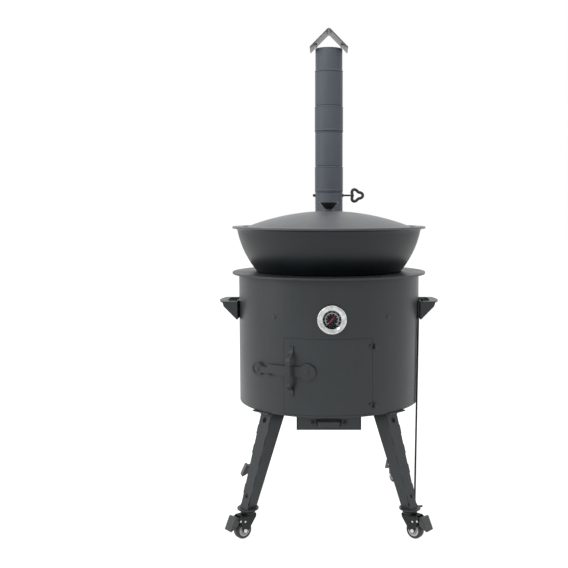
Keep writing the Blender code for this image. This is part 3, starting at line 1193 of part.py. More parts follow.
def caster_meshes():
    """The swivel fork, axle, wheel and brake pedal of one caster, drawn about its stem."""
    half = WHEEL_WIDTH / 2 + FORK_SIDE_GAP + FORK_WALL
    slot = half - FORK_WALL
    axle = (-AXLE_BACK, WHEEL_RADIUS)
    eye = AXLE_HEAD_RADIUS + FORK_WALL
    pin_back = AXLE_BACK + PEDAL_PIN_BACK
    pin_height = CROWN_BOTTOM - PEDAL_BARREL_RADIUS
    front = RACE_RADIUS * 0.85
    side = [(front, CROWN_TOP), (front, CROWN_BOTTOM - CROWN_THICKNESS)]
    side += [(p[0], p[1]) for p in reversed(arc(axle, eye, math.radians(200), math.radians(370), 6))]
    side += [(-pin_back - PEDAL_BARREL_RADIUS, pin_height - PEDAL_BARREL_RADIUS),
             (-pin_back - PEDAL_BARREL_RADIUS, pin_height + PEDAL_BARREL_RADIUS),
             (-pin_back + PEDAL_BARREL_RADIUS, CROWN_TOP)]
    fork = side_slab(side, half)
    low = AXLE_BACK - WHEEL_RADIUS
    wheel_slot = block((-slot, -pin_back - eye, -OVERRUN), (slot, front + OVERRUN, CROWN_BOTTOM))
    pedal_slot = block((-slot, -pin_back - eye, low),
                       (slot, -pin_back + 2 * PEDAL_BARREL_RADIUS, CROWN_TOP + OVERRUN))
    race = turned((
        (0, CROWN_TOP - CROWN_THICKNESS / 2), (RACE_RADIUS * 0.8, CROWN_TOP - CROWN_THICKNESS / 2),
        (RACE_RADIUS, CROWN_TOP + RACE_HEIGHT * 0.35), (RACE_RADIUS, RACE_TOP),
        (STEM_RADIUS, RACE_TOP), (STEM_RADIUS, FOOT_PLATE_TOP + STEM_RISE),
        (0, FOOT_PLATE_TOP + STEM_RISE),
    ), RACE_SIDES)
    fork = cut(fork, wheel_slot, pedal_slot)
    fork = fuse(fork, race)
    axle_bore = moved(across(pin(AXLE_RADIUS + GAP, -half - OVERRUN, half + OVERRUN)),
                      y=axle[0], z=axle[1])
    pin_bore = moved(across(pin(PEDAL_PIN_RADIUS + GAP, -half - OVERRUN, half + OVERRUN)),
                     y=-pin_back, z=pin_height)
    fork = cut(fork, joined(axle_bore, pin_bore))

    head = half + GAP
    cap = head + AXLE_HEAD_HEIGHT
    bolt = across(turned((
        (0, -cap), (AXLE_HEAD_RADIUS, -cap), (AXLE_HEAD_RADIUS, -head), (AXLE_RADIUS, -head),
        (AXLE_RADIUS, head), (AXLE_HEAD_RADIUS, head), (AXLE_HEAD_RADIUS, cap), (0, cap),
    ), SMALL_SIDES))

    wide = WHEEL_WIDTH / 2
    ease = WHEEL_WIDTH / 6
    bore = AXLE_RADIUS + GAP
    web = wide - HUB_RECESS
    rim = HUB_RADIUS + HUB_RECESS / 2
    wheel = across(turned((
        (bore, -web), (HUB_RADIUS, -web),
        (rim, -wide), (WHEEL_RADIUS - ease, -wide), (WHEEL_RADIUS, -wide + ease),
        (WHEEL_RADIUS, wide - ease), (WHEEL_RADIUS - ease, wide), (rim, wide),
        (HUB_RADIUS, web), (bore, web),
    ), WHEEL_SIDES, ring=True))

    barrel = PEDAL_BARREL_RADIUS - GAP
    thick = PEDAL_THICKNESS
    lip = (-PEDAL_LIP_BACK, PEDAL_LIP_RISE)
    outline = arc((0, 0), barrel, math.radians(-20), math.radians(100), 4)
    outline += [(lip[0] + thick, lip[1]), lip, (-PEDAL_REACH, -PEDAL_DROP),
                (-PEDAL_REACH + thick, -PEDAL_DROP - thick / 2),
                (lip[0] + thick, lip[1] - 2 * thick), (-PEDAL_NECK, -barrel)]
    to_axle = Vector((PEDAL_PIN_BACK, WHEEL_RADIUS - pin_height))
    shoe_tip = to_axle.normalized() * (to_axle.length - WHEEL_RADIUS - RUNNING_GAP)
    aside = Vector((to_axle.y, -to_axle.x)).normalized() * SHOE_HALF
    outline += [tuple(shoe_tip + aside), tuple(shoe_tip - aside)]
    pedal = side_slab(outline, PEDAL_TREAD_WIDTH / 2)
    inner = PEDAL_WIDTH / 2
    sides = [block((side * inner, -PEDAL_NECK, -PEDAL_REACH),
                   (side * PEDAL_TREAD_WIDTH, PEDAL_REACH, PEDAL_REACH)) for side in (-1, 1)]
    pedal = cut(pedal, joined(*sides))
    pedal = fuse(pedal, across(pin(PEDAL_PIN_RADIUS, -half, half)))
    pedal_place = Vector((0, -pin_back, pin_height))
    return {
        "fork": (mesh_from("caster_fork", fork), "black_steel", Vector()),
        "axle": (mesh_from("caster_axle", bolt), "zinc", Vector((0, axle[0], axle[1]))),
        "wheel": (mesh_from("caster_wheel", wheel), "tyre_rubber", Vector((0, axle[0], axle[1]))),
        "brake_pedal": (mesh_from("brake_pedal", pedal), "brake_grey", pedal_place),
    }


def casters():
    """Four swivel casters, each trailing its own way."""
    meshes = caster_meshes()
    for name, leg_turn in LEG_TURNS.items():
        place = Matrix.Rotation(leg_turn, 4, "Z") @ Vector((0, -STEM_OUT, 0))
        swivel = empty(f"caster_swivel_{name}", place, stove)
        swivel.rotation_euler = (0, 0, CASTER_TURNS[name])
        for kind, (mesh, material, spot) in meshes.items():
            piece = add_piece(f"caster_{kind}_{name}", mesh, material, parent=swivel)
            piece.location = spot


def poker():
    """A bent round bar that hooks over the right handle's front edge."""
    radius = POKER_RADIUS
    top = HANDLE_TOP + GAP + radius
    front = -HANDLE_HALF_LENGTH - POKER_STANDOFF - radius
    out = math.sqrt((DRUM_RADIUS + POKER_WALL_GAP + radius) ** 2 - front ** 2)
    hook_y = -HAND_HOLE_HALF_LENGTH + GAP + radius
    hook_x = HANDLE_INSIDE + HANDLE_SHEET + POKER_STANDOFF + radius
    span = Vector((hook_x - out, hook_y - front, 0))
    path = [span - Vector((0, 0, POKER_HOOK_DROP))]
    for i in range(POKER_ARC_STEPS + 1):
        angle = math.pi * i / POKER_ARC_STEPS
        share = (1 + math.cos(angle)) / 2
        path.append(span * share + Vector((0, 0, POKER_CREST * math.sin(angle))))
    length = top - POKER_BOTTOM
    lean = Vector((-math.tan(POKER_LEAN_X), -math.tan(POKER_LEAN_Y), -1))
    heel = lean * (length - POKER_FOOT_DROP)
    path.append(heel)
    path.append(heel + Vector((POKER_FOOT, 0, -POKER_FOOT_DROP)))
    curve = bpy.data.curves.new("poker_bar", "CURVE")
    curve.dimensions = "3D"
    curve.bevel_depth = radius
    curve.bevel_resolution = 1
    curve.use_fill_caps = True
    spline = curve.splines.new("POLY")
    spline.points.add(len(path) - 1)
    for point, place in zip(spline.points, path):
        point.co = (*place, 1)
    curve.materials.append(finish("black_steel"))
    bar = bpy.data.objects.new("poker", curve)
    bar.location = (out, front, top)
    bar.parent = stove
    bpy.context.scene.collection.objects.link(bar)


stove = empty("stove", (0, CENTRING, 0))
drum()
drum_rivets()
fire_grate()
ash_box()
latch(door())
handles()
thermometer()
flue()
stack = chimney()
rain_cap(stack)
damper(stack)
cauldron()
legs()
casters()
poker()
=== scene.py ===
"""Looks of the cauldron stove: rolled, spun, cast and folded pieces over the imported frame, their
finishes, a pale studio and the photograph's view. Metres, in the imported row's frame."""

import math

import bmesh
import bpy
from mathutils import Matrix, Vector


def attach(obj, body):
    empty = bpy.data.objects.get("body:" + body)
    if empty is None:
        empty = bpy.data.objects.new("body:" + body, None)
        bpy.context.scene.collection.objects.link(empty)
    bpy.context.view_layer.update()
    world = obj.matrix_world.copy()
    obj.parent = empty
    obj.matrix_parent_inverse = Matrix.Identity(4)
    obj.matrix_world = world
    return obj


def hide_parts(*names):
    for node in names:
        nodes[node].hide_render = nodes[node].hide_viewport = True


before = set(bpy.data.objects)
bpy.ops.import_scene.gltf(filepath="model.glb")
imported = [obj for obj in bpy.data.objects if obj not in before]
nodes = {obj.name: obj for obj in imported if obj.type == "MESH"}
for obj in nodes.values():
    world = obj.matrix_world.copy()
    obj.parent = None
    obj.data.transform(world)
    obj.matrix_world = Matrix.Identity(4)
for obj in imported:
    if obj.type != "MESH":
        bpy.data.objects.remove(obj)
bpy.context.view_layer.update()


# Drum wall: 3 mm sheet rolled round and butt welded at the back, with the doorway and the flue
# mouth cut through it. It is sprayed with graphite heat paint, which dries to a fine dry grain
# with a few pale dust specks and an uneven, slightly streaked sheen.
AXIS_Y = -0.05275
DRUM_RADIUS = 0.230
DRUM_WALL = 0.003
DRUM_FOOT = 0.298
DRUM_TOP = 0.621
DOOR_TURNS = (-27.5, 26.5)
DOOR_HEIGHTS = (0.303, 0.484)
MOUTH_TURNS = (170.24, 189.76)
MOUTH_HEIGHTS = (0.526, 0.604)
SHEET_STEP = 2.5
WALL_LOOPS = (0.39, 0.505)
JOIN_WITHIN = 0.00001


def traced(points, closed=False):
    """A string of edges through (x, z) points; a third value rounds a corner by that much."""
    bm = bmesh.new()
    knots = [bm.verts.new((point[0], 0, point[1])) for point in points]
    ends = knots[1:] + knots[:1] if closed else knots[1:]
    for start, end in zip(knots, ends):
        bm.edges.new((start, end))
    for knot, point in zip(knots, points):
        if len(point) > 2:
            bmesh.ops.bevel(bm, geom=[knot], offset=point[2], segments=4, profile=0.5,
                            affect="VERTICES", material=-1)
    return bm


def moved(bm, x=0.0, y=0.0, z=0.0):
    """Shifts a mesh."""
    bmesh.ops.translate(bm, vec=(x, y, z), verts=bm.verts)
    return bm


def tilted(bm, axis, degrees):
    """Turns a mesh about an axis through the origin."""
    matrix = Matrix.Rotation(math.radians(degrees), 3, axis)
    bmesh.ops.rotate(bm, cent=(0, 0, 0), matrix=matrix, verts=bm.verts)
    return bm


def spun(bm, degrees, steps):
    """Sweeps a profile round Z."""
    bmesh.ops.spin(bm, geom=bm.verts[:] + bm.edges[:], cent=(0, 0, 0), axis=(0, 0, 1),
                   angle=math.radians(degrees), steps=steps, use_merge=degrees == 360)
    return bm


def closed_up(bm):
    """Joins doubled points and turns the faces outwards."""
    bmesh.ops.remove_doubles(bm, verts=bm.verts, dist=JOIN_WITHIN)
    bmesh.ops.recalc_face_normals(bm, faces=bm.faces)
    return bm


def rolled_sheet(turns, heights):
    """Sheet rolled to the drum's radius; turns are in degrees from the front."""
    bm = tilted(traced([(DRUM_RADIUS, height) for height in heights]), "Z", turns[0] - 90)
    sweep = turns[1] - turns[0]
    closed_up(spun(bm, sweep, math.ceil(sweep / SHEET_STEP)))
    face = bm.faces[:][0]
    if face.normal.dot(face.calc_center_median()) < 0:
        bmesh.ops.reverse_faces(bm, faces=bm.faces)
    return moved(bm, y=AXIS_Y)


def scored(bm, spot, normal):
    """Adds the edges where a plane crosses a mesh."""
    bmesh.ops.bisect_plane(bm, geom=bm.verts[:] + bm.edges[:] + bm.faces[:], dist=JOIN_WITHIN,
                           plane_co=spot, plane_no=normal)


def cut_window(bm, turns, heights):
    """Cuts rolled sheet along two turns and two heights and takes the piece between them out."""
    cuts = [((0, AXIS_Y, 0), (math.cos(math.radians(a)), math.sin(math.radians(a)), 0))
            for a in turns]
    cuts += [((0, 0, height), (0, 0, 1)) for height in heights]
    for spot, normal in cuts:
        scored(bm, spot, normal)
    middle, half = sum(turns) / 2, (turns[1] - turns[0]) / 2
    window = []
    for face in bm.faces:
        spot = face.calc_center_median()
        turn = math.degrees(math.atan2(spot.x, AXIS_Y - spot.y))
        near = abs((turn - middle + 180) % 360 - 180) < half
        if near and heights[0] < spot.z < heights[1]:
            window.append(face)
    bmesh.ops.delete(bm, geom=window, context="FACES")


def effect_tree(name, *masks):
    """An effect group that puts out masks and a normal, its object coordinates and its end."""
    tree = bpy.data.node_groups.new(name, "ShaderNodeTree")
    for label in masks:
        tree.interface.new_socket(label, in_out="OUTPUT", socket_type="NodeSocketFloat")
    tree.interface.new_socket("Normal", in_out="OUTPUT", socket_type="NodeSocketVector")
    place = tree.nodes.new("ShaderNodeTexCoord")
    return tree, place.outputs["Object"], tree.nodes.new("NodeGroupOutput")


def take_in(tree, label, value):
    """A number that each material sets on the group for itself."""
    socket = tree.interface.new_socket(label, in_out="INPUT", socket_type="NodeSocketFloat")
    socket.default_value = value
    return tree.nodes.new("NodeGroupInput").outputs[label]


def feed(tree, value, socket):
    """Sets a number on a socket, or links another socket to it."""
    if isinstance(value, bpy.types.NodeSocket):
        tree.links.new(value, socket)
    else:
        socket.default_value = value


def cloudy(tree, where, scale, detail=2.0, rough=0.5, stretch=None):
    """A noise value at a scale in waves per metre."""
    if stretch:
        mapping = tree.nodes.new("ShaderNodeMapping")
        mapping.inputs["Scale"].default_value = stretch
        tree.links.new(where, mapping.inputs["Vector"])
        where = mapping.outputs["Vector"]
    texture = tree.nodes.new("ShaderNodeTexNoise")
    feed(tree, scale, texture.inputs["Scale"])
    texture.inputs["Detail"].default_value = detail
    texture.inputs["Roughness"].default_value = rough
    tree.links.new(where, texture.inputs["Vector"])
    return texture.outputs["Fac"]


def spread(tree, value, low, high, to_low=0.0, to_high=1.0):
    """The value spread from to_low at low to to_high at high."""
    node = tree.nodes.new("ShaderNodeMapRange")
    for label, number in (("From Min", low), ("From Max", high), ("To Min", to_low),
                          ("To Max", to_high)):
        node.inputs[label].default_value = number
    tree.links.new(value, node.inputs["Value"])
    return node.outputs["Result"]


def calc(tree, kind, a, b):
    """A Math node of two sockets or numbers."""
    node = tree.nodes.new("ShaderNodeMath")
    node.operation = kind
    feed(tree, a, node.inputs[0])
    feed(tree, b, node.inputs[1])
    return node.outputs[0]


def relief(tree, heights):
    """A normal from (height socket, depth in metres) pairs."""
    normal = None
    for height, depth in heights:
        bump = tree.nodes.new("ShaderNodeBump")
        bump.inputs["Distance"].default_value = depth
        tree.links.new(height, bump.inputs["Height"])
        if normal:
            tree.links.new(normal, bump.inputs["Normal"])
        normal = bump.outputs["Normal"]
    return normal


def sprayed_coating():
    """Sprayed heat paint: cloudy tone, pale specks, dust that lies on top faces, dry grain."""
    tree, where, out = effect_tree("sprayed_coating", "Tone", "Specks", "Dust")
    speck_share = take_in(tree, "Speck Share", 0.6)
    cloud = cloudy(tree, where, 9, 5, 0.6)
    streak = cloudy(tree, where, 60, 3, 0.6, (1, 1, 0.12))
    mixed = calc(tree, "ADD", calc(tree, "MULTIPLY", cloud, 0.7),
                 calc(tree, "MULTIPLY", streak, 0.3))
    tree.links.new(spread(tree, mixed, 0.33, 0.67), out.inputs["Tone"])
    grain = cloudy(tree, where, 1500, 2, 0.7)
    specks = calc(tree, "MULTIPLY", spread(tree, grain, 0.64, 0.74), speck_share)
    tree.links.new(specks, out.inputs["Specks"])
    facing = tree.nodes.new("ShaderNodeNewGeometry")
    split = tree.nodes.new("ShaderNodeSeparateXYZ")
    tree.links.new(facing.outputs["Normal"], split.inputs["Vector"])
    lying = spread(tree, split.outputs["Z"], 0.55, 0.98)
    settled = spread(tree, cloudy(tree, where, 35, 6, 0.7), 0.42, 0.72)
    tree.links.new(calc(tree, "MULTIPLY", lying, settled), out.inputs["Dust"])
    peel = cloudy(tree, where, 420, 3, 0.55)
    tree.links.new(relief(tree, ((peel, 0.00014), (grain, 0.00005))), out.inputs["Normal"])
    return tree


SPRAYED_COATING = sprayed_coating()


def finish(name, slot, effect, dark, light, masks, rough, metallic=0.0, gloss=0.5, **dials):
    """A material whose colour and roughness run from low to high by one mask of its effect.

    masks is (tone mask, second mask, (red, green, blue, strength) of the second mask), and
    dials sets the effect's own inputs."""
    material = bpy.data.materials.new(name)
    material.use_nodes = True
    tree = material.node_tree
    shader = tree.nodes["Principled BSDF"]
    group = tree.nodes.new("ShaderNodeGroup")
    group.node_tree = effect
    for label, value in dials.items():
        group.inputs[label.replace("_", " ")].default_value = value
    tone, second, colour = masks
    base = tree.nodes.new("ShaderNodeMix")
    base.data_type = "RGBA"
    base.inputs["A"].default_value = (*dark, 1)
    base.inputs["B"].default_value = (*light, 1)
    tree.links.new(group.outputs[tone], base.inputs["Factor"])
    over = tree.nodes.new("ShaderNodeMix")
    over.data_type = "RGBA"
    over.inputs["B"].default_value = (*colour[:3], 1)
    tree.links.new(calc(tree, "MULTIPLY", group.outputs[second], colour[3]), over.inputs["Factor"])
    tree.links.new(base.outputs["Result"], over.inputs["A"])
    tree.links.new(over.outputs["Result"], shader.inputs["Base Color"])
    tree.links.new(spread(tree, group.outputs[tone], 0, 1, *rough), shader.inputs["Roughness"])
    tree.links.new(group.outputs["Normal"], shader.inputs["Normal"])
    shader.inputs["Metallic"].default_value = metallic
    shader.inputs["Specular IOR Level"].default_value = gloss
    return {"material": material, "slot": slot}


HEAT_PAINT = finish("graphite_heat_paint", "heat_paint", SPRAYED_COATING, (0.025, 0.0305, 0.0335),
                    (0.036, 0.0425, 0.0455), ("Tone", "Specks", (0.11, 0.118, 0.122, 1.0)),
                    (0.34, 0.44), gloss=0.42)


def piece(name, bm, body, look, replaces=(), wall=0.0, side=-1.0, ease=0.0, sharp=35):
    """A named piece on a CAD body; wall gives sheet its thickness, ease rounds its edges."""
    mesh = bpy.data.meshes.new(name)
    bm.to_mesh(mesh)
    bm.free()
    mesh.shade_smooth()
    mesh.set_sharp_from_angle(angle=math.radians(sharp))
    mesh.materials.append(look["material"])
    made = bpy.data.objects.new(name, mesh)
    bpy.context.scene.collection.objects.link(made)
    if wall:
        thickness = made.modifiers.new("wall", "SOLIDIFY")
        thickness.thickness = wall
        thickness.offset = side
        thickness.use_even_offset = True
    if ease:
        round_edges(made, ease)
    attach(made, body)
    if replaces:
        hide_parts(*replaces)
    return made


def round_edges(made, width):
    """Deburred edges, with the flat faces between them kept flat to the eye."""
    rounding = made.modifiers.new("ease", "BEVEL")
    rounding.width = width
    rounding.segments = 2
    rounding.limit_method = "ANGLE"
    rounding.angle_limit = math.radians(40)
    made.modifiers.new("flat", "WEIGHTED_NORMAL")


wall = rolled_sheet((-90, 270), (DRUM_FOOT, *WALL_LOOPS, DRUM_TOP))
cut_window(wall, DOOR_TURNS, DOOR_HEIGHTS)
cut_window(wall, MOUTH_TURNS, MOUTH_HEIGHTS)
piece("drum_wall", wall, "stove", HEAT_PAINT, ["drum_shell"], wall=DRUM_WALL, ease=0.0004)


def meshed(curve):
    """The mesh that a curve or a text makes."""
    holder = bpy.data.objects.new(curve.name, curve)
    bpy.context.scene.collection.objects.link(holder)
    mesh = bpy.data.meshes.new_from_object(holder)
    bm = bmesh.new()
    bm.from_mesh(mesh)
    bpy.data.objects.remove(holder)
    bpy.data.meshes.remove(mesh)
    return bm


def bar_along(path, radius, closed=False, smooth=True):
    """A round bar or weld bead bent along 3-D points."""
    curve = bpy.data.curves.new("bar", "CURVE")
    curve.dimensions = "3D"
    curve.bevel_depth = radius
    curve.bevel_resolution = 3
    curve.use_fill_caps = not closed
    spline = curve.splines.new("NURBS" if smooth else "POLY")
    spline.points.add(len(path) - 1)
    for knot, point in zip(spline.points, path):
        knot.co = (*point, 1)
    if smooth:
        spline.order_u = 3
        spline.use_endpoint_u = not closed
        spline.resolution_u = 6
    spline.use_cyclic_u = closed
    return closed_up(meshed(curve))


def weld_bead(name, path, radius, closed=False):
    """A weld bead run along a path and painted over with the drum."""
    piece(name, bar_along(path, radius, closed), "stove", HEAT_PAINT, sharp=60)


def drum_point(degrees, height):
    """A point on the drum's wall at a turn round it."""
    turn = math.radians(degrees)
    return (DRUM_RADIUS * math.sin(turn), AXIS_Y - DRUM_RADIUS * math.cos(turn), height)


SEAM_TURN = 172
SEAM_BEAD = 0.0012
weld_bead("drum_seam_weld", [drum_point(SEAM_TURN, DRUM_FOOT + 0.004 + 0.0315 * k)
                             for k in range(11)], SEAM_BEAD)


# Drum floor and grate: a flat steel disc with the ash hole, welded inside the drum's foot, and a
# loose cast iron grate over the hole. Both are plain flat pieces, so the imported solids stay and
# only get their finishes; the grate has the rough open grain of sand casting, browned by fire.
def own_mesh(name, look, ease=0.0):
    """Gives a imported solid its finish, and eased edges where it has any."""
    node = nodes[name]
    node.data.materials.clear()
    node.data.materials.append(look["material"])
    if ease:
        weld = node.modifiers.new("weld", "WELD")
        weld.merge_threshold = 0.00002
        round_edges(node, ease)


def sand_casting():
    """Cast iron: coarse sand texture, shallow pits and a slow change of tone."""
    tree, where, out = effect_tree("sand_casting", "Tone", "Pits")
    tree.links.new(spread(tree, cloudy(tree, where, 12, 6, 0.65), 0.35, 0.68), out.inputs["Tone"])
    sand = cloudy(tree, where, take_in(tree, "Sand Scale", 650), 4, 0.65)
    pits = spread(tree, cloudy(tree, where, 260, 2, 0.5), 0.66, 0.78)
    tree.links.new(pits, out.inputs["Pits"])
    low = calc(tree, "SUBTRACT", 1.0, pits)
    tree.links.new(relief(tree, ((sand, 0.00016), (low, 0.00010))), out.inputs["Normal"])
    return tree


SAND_CASTING = sand_casting()
GRATE_IRON = finish("bare_grate_iron", "grate_iron", SAND_CASTING, (0.022, 0.020, 0.019),
                    (0.045, 0.040, 0.037), ("Tone", "Pits", (0.060, 0.032, 0.020, 0.5)),
                    (0.6, 0.85), metallic=0.3)
own_mesh("drum_floor", HEAT_PAINT)
own_mesh("fire_grate", GRATE_IRON, 0.0010)


# Top flange: a flat ring cut from 5 mm plate and welded round the drum's top, bevelled inside
# where the cauldron sits. It takes a darker copy of the drum's heat paint, painted shade for the
# shadow that lies on it round the cauldron, and fine dust lies on its flat top.
# A darker copy of the drum's heat paint: painted shade on the flange, which has the drum's own
# paint.
FLANGE_PAINTED_SHADE = finish("graphite_heat_paint_painted_shade", "heat_paint", SPRAYED_COATING,
                      (0.021, 0.0255, 0.0275), (0.031, 0.0365, 0.0385),
                      ("Tone", "Dust", (0.10, 0.105, 0.11, 0.3)), (0.34, 0.46))


def turned(points, steps=96, closed=False):
    """A solid turned about Z from (radius, height) points."""
    return closed_up(spun(traced(points, closed), 360, steps))


FLANGE_HOLE = 0.1826
FLANGE_EDGE = 0.2465
FLANGE_FOOT = 0.6213
FLANGE_TOP = 0.6263
flange = turned(((FLANGE_HOLE, FLANGE_FOOT), (FLANGE_EDGE, FLANGE_FOOT, 0.0010),
                 (FLANGE_EDGE, FLANGE_TOP, 0.0012), (FLANGE_HOLE + 0.0036, FLANGE_TOP, 0.0008),
                 (FLANGE_HOLE, FLANGE_TOP - 0.0020, 0.0004)), 160, True)
piece("drum_flange", moved(flange, y=AXIS_Y), "stove", FLANGE_PAINTED_SHADE, ["top_ring"])


# Drum rivets: two solid rivets through the wall beside the thermometer, closed to a low round
# head on each side and painted over with the drum.
def merged(*parts):
    """Several meshes as one."""
    whole = bmesh.new()
    for part in parts:
        mesh = bpy.data.meshes.new("part")
        part.to_mesh(mesh)
        part.free()
        whole.from_mesh(mesh)
        bpy.data.meshes.remove(mesh)
    return whole


def domed_head(out, radius, rise, sunk=0.0004):
    """A low domed head on +Z, sunk a little into what it sits on."""
    return turned(((0, out - sunk), (radius, out - sunk), (radius, out + rise * 0.35),
                   (radius * 0.8, out + rise * 0.8, radius * 0.12), (radius * 0.4, out + rise),
                   (0, out + rise)), 28)


def on_drum(bm, degrees, height=0.0):
    """Puts a mesh whose +Z points out of the drum, and +Y up, at a turn round the drum."""
    tilted(bm, "X", 90)
    moved(bm, z=height)
    tilted(bm, "Z", degrees)
    return moved(bm, y=AXIS_Y)


RIVET_HEIGHT = 0.531
for side, degrees in (("left", -34.3), ("right", 37.7)):
    outside = domed_head(DRUM_RADIUS + 0.0002, 0.0058, 0.0014)
    inside = tilted(domed_head(-(DRUM_RADIUS - DRUM_WALL), 0.0038, 0.0014), "X", 180)
    rivet = on_drum(merged(outside, inside), degrees, RIVET_HEIGHT)
    piece(f"clench_rivet_{side}", rivet, "stove", HEAT_PAINT, [f"drum_rivet_{side}"])


# Smoke box: folded 2 mm sheet welded to the back of the drum, with the stub of pipe that takes
# the chimney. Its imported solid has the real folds, so it stays; the beads round it are added.
own_mesh("flue_box", HEAT_PAINT, 0.0006)
BOX_HALF = 0.045
BOX_FOOT = 0.521
BOX_TOP = 0.610
BOX_BEAD = 0.0014
STUB_RADIUS = 0.0404
CHIMNEY_Y = 0.25325


def behind_drum(x, height):
    """A point just off the back of the drum at a sideways place."""
    return (x, AXIS_Y + math.sqrt(DRUM_RADIUS ** 2 - x ** 2) + 0.0010, height)


for side, x in (("left", -BOX_HALF - 0.0004), ("right", BOX_HALF + 0.0004)):
    weld_bead(f"box_weld_{side}", [behind_drum(x, BOX_FOOT + 0.022 * k) for k in range(5)],
              BOX_BEAD)
weld_bead("box_weld_top", [behind_drum(BOX_HALF * (k / 6 - 1), BOX_TOP + 0.0004)
                           for k in range(13)], BOX_BEAD)
turns = [k * math.tau / 24 for k in range(24)]
weld_bead("stub_weld", [(STUB_RADIUS * math.cos(a), CHIMNEY_Y + STUB_RADIUS * math.sin(a),
                         BOX_TOP + 0.0005) for a in turns], BOX_BEAD, True)


# Carrying handles: one blank of 2.5 mm sheet each, cut with a hand hole and folded to a shelf
# with two side gussets. They are spot welded to the drum's sides along their top edge.
HANDLE_TOP = 0.5536
HANDLE_BEAD = 0.0012
for name, side in (("handle_left", -1), ("handle_right", 1)):
    own_mesh(name, HEAT_PAINT, 0.0004)
    for end, y in (("front", -0.042), ("rear", 0.018)):
        path = []
        for k in range(4):
            along = y + 0.008 * k
            depth = math.sqrt(DRUM_RADIUS ** 2 - along ** 2)
            path.append((side * (depth + 0.0006), AXIS_Y + along, HANDLE_TOP))
        weld_bead(f"{name}_weld_{end}", path, HANDLE_BEAD)


# Legs: four tapered channels folded from 3 mm sheet, slit along part of each fold and drilled
# twice, welded to a bracket under the drum and to a round foot plate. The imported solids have
# these folds, slits and holes, so they stay and get the drum's paint.
STEM_OUT = 0.2748
LEG_TURNS = {"front_left": -45, "front_right": 45, "rear_left": -135, "rear_right": 135}
for corner, leg_turn in LEG_TURNS.items():
    own_mesh(f"leg_{corner}", HEAT_PAINT)
    path = [(-0.0136, -0.262, 0.0719), (-0.0136, -0.2882, 0.0719), (-0.0134, -0.2885, 0.0719),
            (0.0134, -0.2885, 0.0719), (0.0136, -0.2882, 0.0719), (0.0136, -0.262, 0.0719)]
    bead = moved(tilted(bar_along(path, 0.0005), "Z", leg_turn), y=AXIS_Y)
    piece(f"foot_weld_{corner}", bead, "stove", HEAT_PAINT, sharp=60)


# Casters: four small swivel casters with pressed steel forks under a twin ball race, black rubber
# tyres on white nylon hubs, a plated rivet for each axle, and a broad dark nylon brake pedal.
# Each is drawn about its stem, trailing towards -Y, and bolted up through the leg's foot plate.
TRAILS = {"front_left": -50, "front_right": 50, "rear_left": -75, "rear_right": -162}
AXLE_PLACE = (-0.016, 0.021)
FORK_HALF = 0.013


def moulded_skin():
    """Moulded rubber or nylon: pebbled skin with floor dust rubbed into it."""
    tree, where, out = effect_tree("moulded_skin", "Dust")
    dust = spread(tree, cloudy(tree, where, 90, 6, 0.7), 0.45, 0.75)
    tree.links.new(dust, out.inputs["Dust"])
    pebble = cloudy(tree, where, take_in(tree, "Pebble Scale", 1800), 2, 0.6)
    tree.links.new(relief(tree, ((pebble, 0.00006),)), out.inputs["Normal"])
    return tree


def worked_metal():
    """Bare or plated metal: fine drawn lines, cloudy patches and rubbed spots."""
    tree, where, out = effect_tree("worked_metal", "Lines", "Patches")
    lines = cloudy(tree, where, take_in(tree, "Line Scale", 700), 3, 0.6, (1, 1, 0.08))
    tree.links.new(lines, out.inputs["Lines"])
    patches = spread(tree, cloudy(tree, where, 120, 4, 0.6), 0.38, 0.66)
    tree.links.new(patches, out.inputs["Patches"])
    tree.links.new(relief(tree, ((lines, 0.00002),)), out.inputs["Normal"])
    return tree


MOULDED_SKIN = moulded_skin()
WORKED_METAL = worked_metal()
TYRE_RUBBER = finish("caster_rubber", "tyre_rubber", MOULDED_SKIN, (0.022, 0.023, 0.025),
                     (0.034, 0.036, 0.038), ("Dust", "Dust", (0.12, 0.12, 0.115, 0.3)),
                     (0.50, 0.70))
HUB_NYLON = finish("caster_hub_nylon", "brake_grey", MOULDED_SKIN, (0.80, 0.80, 0.80),
                   (0.88, 0.88, 0.88), ("Dust", "Dust", (0.45, 0.44, 0.43, 0.25)), (0.35, 0.50))
PEDAL_NYLON = finish("brake_pedal_nylon", "brake_grey", MOULDED_SKIN, (0.045, 0.050, 0.050),
                     (0.062, 0.068, 0.068), ("Dust", "Dust", (0.16, 0.16, 0.155, 0.25)),
                     (0.45, 0.62))
FORK_STEEL = finish("black_passivated_steel", "black_steel", WORKED_METAL, (0.006, 0.007, 0.007),
                    (0.014, 0.015, 0.015), ("Patches", "Lines", (0.03, 0.032, 0.032, 0.25)),
                    (0.38, 0.55), gloss=0.3)
ZINC_PLATE = finish("zinc_plate", "zinc", WORKED_METAL, (0.50, 0.51, 0.52), (0.70, 0.71, 0.72),
                    ("Patches", "Lines", (0.40, 0.41, 0.42, 0.3)), (0.22, 0.38), metallic=1.0)


def drawn_out(bm, extruded, vec):
    """Moves what an extrude has made away from what it was made from."""
    far = [item for item in extruded["geom"] if isinstance(item, bmesh.types.BMVert)]
    bmesh.ops.translate(bm, vec=vec, verts=far)
    bmesh.ops.recalc_face_normals(bm, faces=bm.faces)


def cut_plate(points, low, high):
    """Plate cut to an (x, z) outline, from low to high along Y."""
    bm = traced(points, True)
    bmesh.ops.edgeloop_fill(bm, edges=bm.edges)
    drawn_out(bm, bmesh.ops.extrude_face_region(bm, geom=bm.faces[:]), (0, high - low, 0))
    return moved(bm, y=low)


def across(points, low, high):
    """Plate cut to a (y, z) outline, from low to high along X."""
    return tilted(cut_plate(points, -high, -low), "Z", 90)


def on_axle(bm):
    """A part turned about Z laid along the caster's axle."""
    return moved(tilted(bm, "Y", 90), y=AXLE_PLACE[0], z=AXLE_PLACE[1])


